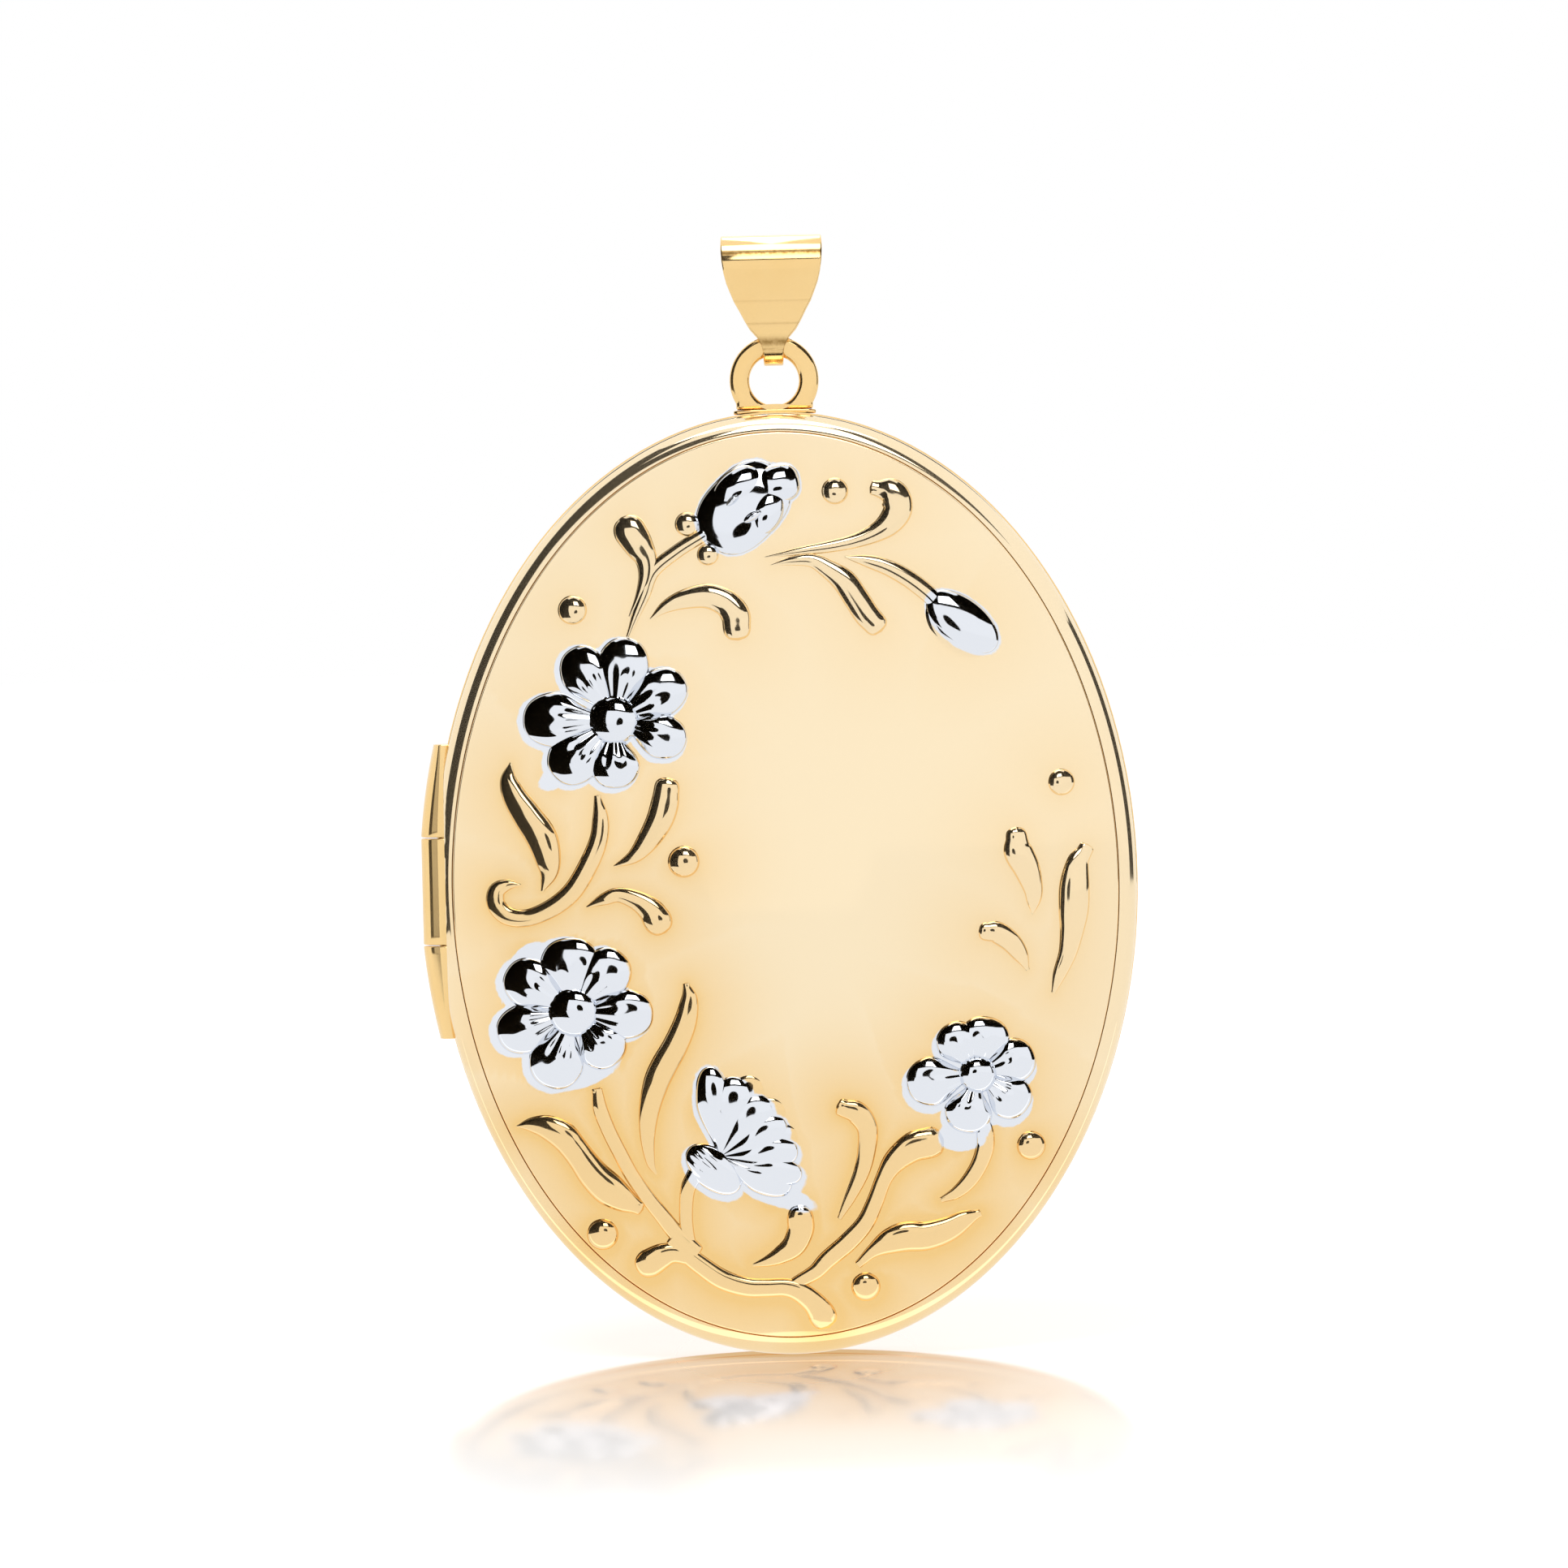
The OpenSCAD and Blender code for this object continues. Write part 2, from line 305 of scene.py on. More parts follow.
def lightOnly(card, objects):  # the card is white to these objects and black to all others
    lit = bpy.data.collections.new(card.name + "Lights")
    for obj in objects:
        lit.objects.link(obj)
    card.light_linking.receiver_collection = lit


def makeFloor(level):
    size = studio["floorSize"] * mm
    bpy.ops.mesh.primitive_grid_add(x_subdivisions=8, y_subdivisions=8, size=size,
                                    location=(0, 0, level))
    floor = bpy.context.object
    floor.name = "floor"
    bpy.ops.object.transform_apply(location=True)
    material, tree = newMaterial("white gloss acrylic sheet")
    place = addNode(tree, "TexCoord")
    ray = addNode(tree, "LightPath")
    seenLift, litLift = studio["floorLift"]
    boost = addNode(tree, "MapRange", {"To Min": seenLift, "To Max": litLift},
            {"Value": ray.outputs["Is Diffuse Ray"]})
    base = addNode(tree, "BsdfDiffuse", {"Color": linearColour(studio["floorColour"])})
    glow = addNode(tree, "Emission", {"Color": (1, 1, 1, 1)}, {"Strength": boost})
    body = addNode(tree, "AddShader", links={0: base, 1: glow})
    slope = math.radians(studio["floorSlope"])
    lean = addNode(tree, "CombineXYZ", {"Y": -math.sin(slope), "Z": math.cos(slope)})
    mirror = addNode(tree, "BsdfGlossy",
            {"Color": linearColour(studio["glossColour"]), "Roughness": studio["glossRough"]},
            {"Normal": lean})
    oval = addNode(tree, "Mapping", {"Scale": (studio["floorNarrow"], 1, 0)},
            {"Vector": place.outputs["Object"]})
    away = addNode(tree, "VectorMath", {"operation": "LENGTH"}, {0: oval})
    fade = addNode(tree, "MapRange",
            {"From Min": studio["floorFade"] * mm, "From Max": 0, "To Min": 0,
                "To Max": studio["floorGloss"]},
            {"Value": away.outputs["Value"]})
    share = addNode(tree, "Math", {"operation": "MULTIPLY"}, {0: fade, 1: ray.outputs["Is Camera Ray"]})
    seen = addNode(tree, "MixShader", links={0: share, 1: body, 2: mirror})
    even = addNode(tree, "Emission", {"Color": (1, 1, 1, 1), "Strength": studio["floorLight"]})
    surface = addNode(tree, "MixShader", links={0: ray.outputs["Is Glossy Ray"], 1: seen, 2: even})
    addNode(tree, "OutputMaterial", links={"Surface": surface})
    floor.data.materials.append(material)
    return floor


def makeFloorStrip(name, reach, light, width, paint):  # a strip of card lying in front of the locket
    near, far = reach
    height = cadBox[0][2] + 0.2 * mm
    bpy.ops.mesh.primitive_plane_add(size=1, location=(0, -(near + far) / 2 * mm, height))
    strip = bpy.context.object
    strip.scale = (width * mm, (far - near) * mm, 1)
    bpy.ops.object.transform_apply(location=True, scale=True)
    strip.name = name
    strip.data.materials.append(paint)
    setAttribute(strip, "light", np.full(len(strip.data.vertices), light))
    reflectOnly(strip)
    return strip


def makeWorld():
    world = bpy.data.worlds.new("white tent")
    bpy.context.scene.world = world
    world.use_nodes = True
    tree = world.node_tree
    tree.nodes.clear()
    ray = addNode(tree, "LightPath")
    direct = addNode(tree, "Math", {"operation": "ADD"},
            {0: ray.outputs["Is Camera Ray"], 1: ray.outputs["Is Glossy Ray"]})
    seen = addNode(tree, "Math", {"operation": "ADD", "use_clamp": True},
            {0: direct, 1: ray.outputs["Is Transmission Ray"]})
    strength = addNode(tree, "MapRange", {"To Min": studio["tent"][0], "To Max": studio["tent"][1]},
            {"Value": seen})
    back = addNode(tree, "Background", {"Color": (1, 1, 1, 1)}, {"Strength": strength})
    addNode(tree, "OutputWorld", links={"Surface": back})


def makeLamp(name, place, size, power):
    bpy.ops.object.light_add(type="AREA", location=Vector(place) * mm)
    lamp = bpy.context.object
    lamp.name = name
    lamp.data.shape = "DISK"
    lamp.data.size = size * mm
    lamp.data.energy = power
    lamp.visible_glossy = False
    towards = Vector(studio["target"]) * mm - lamp.location
    lamp.rotation_euler = towards.to_track_quat("-Z", "Y").to_euler()


bpy.context.scene.view_settings.view_transform = "Standard"
camera = makeCamera()
paint = cardMaterial()
lensHood = makeLensHood(camera, paint)
hungCards = {name: makeCard(name, card, paint) for name, card in cards.items()}
floorCloth = makeFloorStrip("floorCloth", studio["bailDarkReach"], studio["floorLight"], studio["bailDarkWidth"],
                            paint)
makeFloorStrip("floorGlow", studio["glow"], studio["glowLight"], studio["glowWidth"], paint)
floor = makeFloor(cadBox[0][2])
makeWorld()
makeLamp("keyLamp", (-120, -260, 380), 220, 1.3)
makeLamp("fillLamp", (260, -220, 160), 260, 0.5)
print("studio ready")


# materials

metals = {
    "paleGold": "FEEBC8",       # plain polished middle of the front
    "deepGold": "F7D08C",       # deeper gold, painted beside the flowers and towards the lower left as a painted reflection of gold in gold; also the darker tone of the handling clouds
    "rhodium": "E8ECF3",
    "reflectionLineGold": "8A6526",     # painted dark reflection lines across the front of the bail
    "trimGold": "FDDCA0",       # rims, hinge, ring and bail
    "brushedGold": "F3D193",
    "pinGold": "E3BF78",
    "polishWave": 1.8,          # mm, slow ripple left by the buffing wheel
    "polishDepth": 0.001,       # mm
    "haze": 0.11,               # share of light that gold scatters softly, so its darks stay brown
    "hazeRough": 0.6,
    "rhodiumHaze": 0.01,
    "struckRough": (0.035, 0.075),
    "buffedRough": (0.05, 0.11),
    "cloud": 2.4,               # mm, soft clouds from handling
    "lineGrain": 0.16,              # mm, patches in the painted dark reflection lines
    "brushedShade": "E9C482",
    "brushing": 0.12,           # mm between the streaks of the brushed parts
    "brushedRough": (0.24, 0.42),
    "drawing": 0.25,            # mm between the rings round the wire
    "drawnRough": (0.14, 0.26),
    "grit": 0.09,               # mm between polishing lines, drawn coarse enough to show
    "platingWander": 0.05,      # mm that the edge of the plating wanders
    "platingGrain": 0.3,        # mm over which it wanders
}


def polish(tree, place, roughness, depth):
    # buffing leaves a slow ripple and a few finer lines, so reflections are not quite straight
    wave = addNode(tree, "TexNoise", {"Scale": 1 / (metals["polishWave"] * mm), "Detail": 1.5},
            {"Vector": place})
    lines = addNode(tree, "TexNoise", {"Scale": 1 / (metals["grit"] * mm), "Detail": 2.0},
            {"Vector": place})
    rough = addNode(tree, "MapRange",
            {"From Min": 0.35, "From Max": 0.65, "To Min": roughness[0], "To Max": roughness[1]},
            {"Value": wave})
    fine = addNode(tree, "Bump", {"Strength": 0.25, "Distance": 0.1 * depth * mm}, {"Height": lines})
    bump = addNode(tree, "Bump", {"Strength": 1, "Distance": depth * mm},
            {"Height": wave, "Normal": fine})
    return rough, bump


def hazed(tree, metal, colour, share):
    # a little of the light is scattered wide by microscopic scratches
    haze = addNode(tree, "BsdfPrincipled", {"Metallic": 1, "Roughness": metals["hazeRough"]},
            {"Base Color": colour})
    fixed, linked = ({0: share}, {}) if isinstance(share, float) else ({}, {0: share})
    both = addNode(tree, "MixShader", fixed, {1: metal, 2: haze, **linked})
    addNode(tree, "OutputMaterial", links={"Surface": both})


def platedGoldMaterial():
    # 9 carat gold sheet struck in a die, with rhodium plated over the flowers: white and yellow
    # mirrors in one sheet, whose darks are black in the white and brown in the yellow
    material, tree = newMaterial("struck gold with rhodium-plated flowers")
    place = addNode(tree, "TexCoord").outputs["Object"]
    # painted reflection: this attribute mixes in the deeper gold that stands in for gold reflected in gold
    worked = addNode(tree, "Attribute", {"attribute_name": "worked"})
    plating = addNode(tree, "Attribute", {"attribute_name": "plating"})
    gold = addNode(tree, "MixRGB",
            {"Color1": linearColour(metals["paleGold"]), "Color2": linearColour(metals["deepGold"])},
            {"Fac": worked.outputs["Fac"]})
    wander = addNode(tree, "TexNoise", {"Scale": 1 / (metals["platingGrain"] * mm), "Detail": 3.0},
            {"Vector": place})
    spread = metals["platingWander"]
    shift = addNode(tree, "MapRange", {"To Min": -spread, "To Max": spread}, {"Value": wander})
    edge = addNode(tree, "Math", {"operation": "ADD"}, {0: plating.outputs["Fac"], 1: shift})
    plated = addNode(tree, "MapRange", {"From Min": -0.02, "From Max": 0.03}, {"Value": edge})
    colour = addNode(tree, "MixRGB", {"Color2": linearColour(metals["rhodium"])},
            {"Fac": plated, "Color1": gold})
    rough, normal = polish(tree, place, metals["struckRough"], metals["polishDepth"])
    metal = addNode(tree, "BsdfPrincipled", {"Metallic": 1},
            {"Base Color": colour, "Roughness": rough, "Normal": normal})
    share = addNode(tree, "MapRange", {"To Min": metals["haze"], "To Max": metals["rhodiumHaze"]},
            {"Value": plated})
    hazed(tree, metal, gold, share)
    return material


def polishedGoldMaterial():
    # cast and drawn parts, buffed bright: mirror edges with a soft cloudiness from handling
    material, tree = newMaterial("buffed 9 carat gold")
    place = addNode(tree, "TexCoord").outputs["Object"]
    cloud = addNode(tree, "TexNoise", {"Scale": 1 / (metals["cloud"] * mm), "Detail": 4.0},
            {"Vector": place})
    clean = addNode(tree, "MixRGB",
            {"Color1": linearColour(metals["trimGold"]), "Color2": linearColour(metals["deepGold"])},
            {"Fac": cloud})
    # painted reflection: an attribute puts dark lines on the front of the bail, standing in for
    # reflections of the ring and its surroundings
    tarnish = addNode(tree, "Attribute", {"attribute_name": "tarnish"})
    grain = addNode(tree, "TexNoise",
            {"Scale": 1 / (metals["lineGrain"] * mm), "Detail": 4.0, "Roughness": 0.7}, {"Vector": place})
    patchy = addNode(tree, "MapRange", {"From Min": 0.3, "From Max": 0.62, "To Min": 0.55, "To Max": 1},
            {"Value": grain})
    darkLineShare = addNode(tree, "Math", {"operation": "MULTIPLY"}, {0: tarnish.outputs["Fac"], 1: patchy})
    colour = addNode(tree, "MixRGB", {"Color2": linearColour(metals["reflectionLineGold"])},
            {"Fac": darkLineShare, "Color1": clean})
    rough, normal = polish(tree, place, metals["buffedRough"], 2 * metals["polishDepth"])
    metal = addNode(tree, "BsdfPrincipled", {"Metallic": 1},
            {"Base Color": colour, "Roughness": rough, "Normal": normal})
    hazed(tree, metal, colour, metals["haze"])
    return material


def brushedGoldMaterial():
    # inside parts, rubbed lengthways on fine paper: satin streaks that stretch highlights sideways
    material, tree = newMaterial("satin-brushed gold")
    place = addNode(tree, "TexCoord").outputs["Object"]
    stretch = addNode(tree, "Mapping", {"Scale": (1, 1, 0.04)}, {"Vector": place})
    streaks = addNode(tree, "TexNoise", {"Scale": 1 / (metals["brushing"] * mm), "Detail": 3.0},
            {"Vector": stretch})
    colour = addNode(tree, "MixRGB",
            {"Color1": linearColour(metals["brushedShade"]),
                "Color2": linearColour(metals["brushedGold"])},
            {"Fac": streaks})
    smooth, coarse = metals["brushedRough"]
    rough = addNode(tree, "MapRange",
            {"From Min": 0.3, "From Max": 0.7, "To Min": smooth, "To Max": coarse}, {"Value": streaks})
    bump = addNode(tree, "Bump", {"Strength": 0.4, "Distance": 0.004 * mm}, {"Height": streaks})
    metal = addNode(tree, "BsdfPrincipled", {"Metallic": 1, "Anisotropic": 0.4},
            {"Base Color": colour, "Roughness": rough, "Normal": bump})
    addNode(tree, "OutputMaterial", links={"Surface": metal})
    return material


def pinMaterial():
    # drawn wire: fine rings round it from the die
    material, tree = newMaterial("drawn gold wire")
    place = addNode(tree, "TexCoord").outputs["Object"]
    rings = addNode(tree, "TexWave",
            {"wave_type": "BANDS", "bands_direction": "Z", "Scale": 1 / (metals["drawing"] * mm),
                "Distortion": 2.0},
            {"Vector": place})
    smooth, coarse = metals["drawnRough"]
    rough = addNode(tree, "MapRange", {"To Min": smooth, "To Max": coarse},
            {"Value": rings.outputs["Fac"]})
    colour = addNode(tree, "MixRGB",
            {"Color1": linearColour(metals["pinGold"]), "Color2": linearColour(metals["brushedGold"])},
            {"Fac": rings.outputs["Fac"]})
    metal = addNode(tree, "BsdfPrincipled", {"Metallic": 1}, {"Base Color": colour, "Roughness": rough})
    addNode(tree, "OutputMaterial", links={"Surface": metal})
    return material


fillings = {
    "clear": "F7FAFA",
    "ior": 1.49,                # acrylic
    "rubbing": 0.6,             # mm, faint marks on the windows
    "rubbedRough": (0.02, 0.12),
    "ivory": "F1EADB",
    "ivoryShade": "E7DDC8",
    "fibre": "CDBF9F",
    "fibreSize": 0.18,          # mm
    "blotch": 4,                # mm, uneven tone of the paper
}


def windowMaterial():
    # clear acrylic cut from sheet: glassy, with faint rubbing marks
    material, tree = newMaterial("clear acrylic sheet")
    place = addNode(tree, "TexCoord").outputs["Object"]
    marks = addNode(tree, "TexNoise", {"Scale": 1 / (fillings["rubbing"] * mm), "Detail": 5.0},
            {"Vector": place})
    smooth, coarse = fillings["rubbedRough"]
    rough = addNode(tree, "MapRange",
            {"From Min": 0.4, "From Max": 0.75, "To Min": smooth, "To Max": coarse}, {"Value": marks})
    colour = linearColour(fillings["clear"])
    glass = addNode(tree, "BsdfPrincipled",
            {"Base Color": colour, "IOR": fillings["ior"], "Transmission Weight": 1},
            {"Roughness": rough})
    clear = addNode(tree, "BsdfTransparent", {"Color": colour})
    ray = addNode(tree, "LightPath")
    lighting = addNode(tree, "Math", {"operation": "MAXIMUM"},
            {0: ray.outputs["Is Shadow Ray"], 1: ray.outputs["Is Diffuse Ray"]})
    # light passes straight through, so the picture behind is not in the dark
    sheet = addNode(tree, "MixShader", links={0: lighting, 1: glass, 2: clear})
    addNode(tree, "OutputMaterial", links={"Surface": sheet})
    return material


def cardStockMaterial():
    # blank picture card: warm paper with short fibres that catch the light
    material, tree = newMaterial("uncoated ivory card")
    place = addNode(tree, "TexCoord").outputs["Object"]
    fibres = addNode(tree, "TexNoise",
            {"Scale": 1 / (fillings["fibreSize"] * mm), "Detail": 6.0, "Roughness": 0.7},
            {"Vector": place})
    blotch = addNode(tree, "TexNoise", {"Scale": 1 / (fillings["blotch"] * mm), "Detail": 2.0},
            {"Vector": place})
    tone = addNode(tree, "MixRGB",
            {"Color1": linearColour(fillings["ivory"]), "Color2": linearColour(fillings["ivoryShade"])},
            {"Fac": blotch})
    fleck = addNode(tree, "MapRange", {"From Min": 0.35, "From Max": 0.7, "To Min": 0, "To Max": 0.35},
            {"Value": fibres})
    colour = addNode(tree, "MixRGB", {"Color2": linearColour(fillings["fibre"])},
            {"Fac": fleck, "Color1": tone})
    bump = addNode(tree, "Bump", {"Strength": 0.5, "Distance": 0.02 * mm}, {"Height": fibres})
    paper = addNode(tree, "BsdfPrincipled", {"Roughness": 0.9, "Specular IOR Level": 0.2},
            {"Base Color": colour, "Normal": bump})
    addNode(tree, "OutputMaterial", links={"Surface": paper})
    return material


platedGold = platedGoldMaterial()
polishedGold = polishedGoldMaterial()
brushedGold = brushedGoldMaterial()
drawnWire = pinMaterial()
acrylic = windowMaterial()
cardStock = cardStockMaterial()
print("materials ready")


# covers: a struck sheet with a half-round border, a crease inside it and a shallow dome

border = {
    "beadRadius": 0.88,     # mm
    "beadFoot": 0.1,        # height of the straight skirt under the border
    "beadTurn": 83,         # degrees of arc, from the skirt up to the crease
    "creaseInset": 0.8,     # where the crease lies, measured in from the outline
    "creaseHeight": 0.9,
    "fieldInset": 0.88,     # where the domed field begins
    "sheet": 0.35,          # thickness shown
    "skirt": 0.2,           # straight edge under the shoulder
    "shoulder": 0.8,        # width and height of the shoulder that the dome springs from
    "insideShare": 0.98,    # width of the hollow against the field
    "fieldSteps": 84,
    "rollSteps": 8,
    "beadSteps": 14,
    "insideSteps": 20,
    "lip": [(0, 0), (0.02, 0), (0.33, 0), (0.35, 0.02), (0.4, 0.12), (0.9, 0.2), (1.15, 0.4)],
}
lipInside = 3               # the last sections of the lip lie inside the sheet


class Dome:
    # the shape of one cover, in mm about the middle of the oval, seen from outside
    def __init__(self, node, facing):
        low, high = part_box(node)
        self.facing = facing                    # -1 faces the viewer, 1 faces away
        self.halfWidth = high[0] / mm
        self.halfHeight = (high[2] - low[2]) / 2 / mm
        self.middle = (high[2] + low[2]) / 2 / mm
        self.hingeFlat = -low[0] / mm
        self.seat = (high[1] if facing < 0 else low[1]) / mm
        self.apex = (high[1] - low[1]) / mm
        self.shoulder = border["shoulder"]
        self.foot = border["skirt"] + self.shoulder
        self.rise = self.apex - self.foot
        self.radius = ((self.halfHeight - self.shoulder) ** 2 + self.rise ** 2) / (2 * self.rise)
        self.squeeze = self.halfHeight / self.halfWidth

    def slant(self, x, z):
        return np.sqrt(self.radius ** 2 - (x * self.squeeze) ** 2 - z ** 2)

    def height(self, x, z):
        return self.apex - self.radius + self.slant(x, z)

    def onSurface(self, x, z, above):
        # where a point lies that stands off the dome, in metres
        slant = self.slant(x, z)
        out = np.stack([x * self.squeeze ** 2 / slant, np.ones_like(x), z / slant], axis=1)
        out /= np.linalg.norm(out, axis=1)[:, None]
        flat = np.stack([x, self.height(x, z), z], axis=1) + out * above[:, None]
        return self.place(flat)

    def place(self, flat):
        # across, off the seat, up: stood up on its half, in metres
        stood = np.stack([flat[:, 0] * -self.facing, self.seat + self.facing * flat[:, 1],
                          flat[:, 2] + self.middle], axis=1)
        return stood * mm


frontDome = Dome("front_cover", -1)
backDome = Dome("back_cover", 1)


def coverStations():
    # one closed section from the middle round the edge and back inside: (kind, inset, value);
    # value is a share of the field for field and inside, of the roll for roll, else a height
    fieldSteps, insideSteps = border["fieldSteps"], border["insideSteps"]
    rows = [("field", 0, i / fieldSteps) for i in range(1, fieldSteps + 1)]
    crease, field = border["creaseInset"], border["fieldInset"]
    for i in range(1, border["rollSteps"] + 1):  # the field rolls over into the crease
        turn = math.pi / 2 * i / border["rollSteps"]
        rows.append(("roll", field - (field - crease) * math.sin(turn), math.cos(turn)))
    bead, foot = border["beadRadius"], border["beadFoot"]
    for i in range(border["beadSteps"] + 1):
        turn = math.radians(border["beadTurn"] * (1 - i / border["beadSteps"]))
        rows.append(("edge", bead * (1 - math.cos(turn)), foot + bead * math.sin(turn)))
    rows += [("edge", inset, height) for inset, height in border["lip"]]
    return rows + [("inside", 0, i / insideSteps) for i in range(insideSteps, 0, -1)]


def makeCover(name, dome, segments):
    stations = coverStations()
    rings = len(stations) + 1
    cover, ball, _, turn = startBall(segments, rings)
    row = np.rint(np.arccos(np.clip(ball[:, 2], -1, 1)) / math.pi * rings).astype(int)
    flat = np.zeros_like(ball)
    outlineX, outlineZ = dome.halfWidth * np.cos(turn), dome.halfHeight * np.sin(turn)
    normal = np.stack([np.cos(turn) / dome.halfWidth, np.sin(turn) / dome.halfHeight], axis=1)
    normal /= np.linalg.norm(normal, axis=1)[:, None]
    fieldX = outlineX - normal[:, 0] * border["fieldInset"]
    fieldZ = outlineZ - normal[:, 1] * border["fieldInset"]
    fieldEdge = dome.height(fieldX, fieldZ)
    for index, (kind, inset, value) in enumerate(stations):
        on = row == index + 1
        if kind == "field":
            x, z = fieldX[on] * value, fieldZ[on] * value
            height = dome.height(x, z)
        elif kind == "inside":
            share = border["insideShare"]
            x, z = fieldX[on] * value * share, fieldZ[on] * value * share
            height = dome.height(x, z) - border["sheet"]
        else:
            x = outlineX[on] - normal[on, 0] * inset
            z = outlineZ[on] - normal[on, 1] * inset
            if kind == "roll":
                height = border["creaseHeight"] + (fieldEdge[on] - border["creaseHeight"]) * value
            else:
                height = np.full(x.shape, value)
        flat[on] = np.stack([x, height, z], axis=1)
    flat[row == 0] = (0, dome.apex, 0)
    flat[row == rings] = (0, dome.apex - border["sheet"], 0)
    inner = row >= rings - border["insideSteps"] - lipInside
    limit = np.where(inner, dome.hingeFlat - border["sheet"], dome.hingeFlat)
    side = -dome.facing                      # the hinge lies at -X on both halves
    flat[:, 0] = np.where(-side * flat[:, 0] > limit, -side * limit, flat[:, 0])
    setPoints(cover, dome.place(flat))
    cover.name = name
    return cover, flat


frontCover, frontFlat = makeCover("front_cover_sheet", frontDome, 400)
backCover = makeCover("back_cover_sheet", backDome, 320)[0]
print("covers struck")


# embossing: every form is laid out flat, in mm about the middle of the oval, then laid on the dome

leafForm = {
    "height": 0.56,         # against half the width
    "floor": 0.03,          # mm added to that
    "crown": 2.6,           # how flat the back is
    "roundness": 0.48,      # how steep the sides are
    "endFall": 0.8,         # how soon the height falls off at the ends
    "bury": 0.05,           # mm sunk into the sheet
    "underside": 0.08,
    "thinnest": 0.08,
    "shortestEnd": 0.1,
}
lobeForm = {
    "bury": 0.05, "underside": 0.12, "crown": 2.4, "roundness": 0.55,
    "narrowReach": 1.25,    # how far from the root the lobe reaches its full width, in half lengths
    "swellReach": 1.1,      # and its full height
    "ridge": 0.075,         # depth of the ridges at the root
    "ridgeEnd": (0.45, 0.95),
}

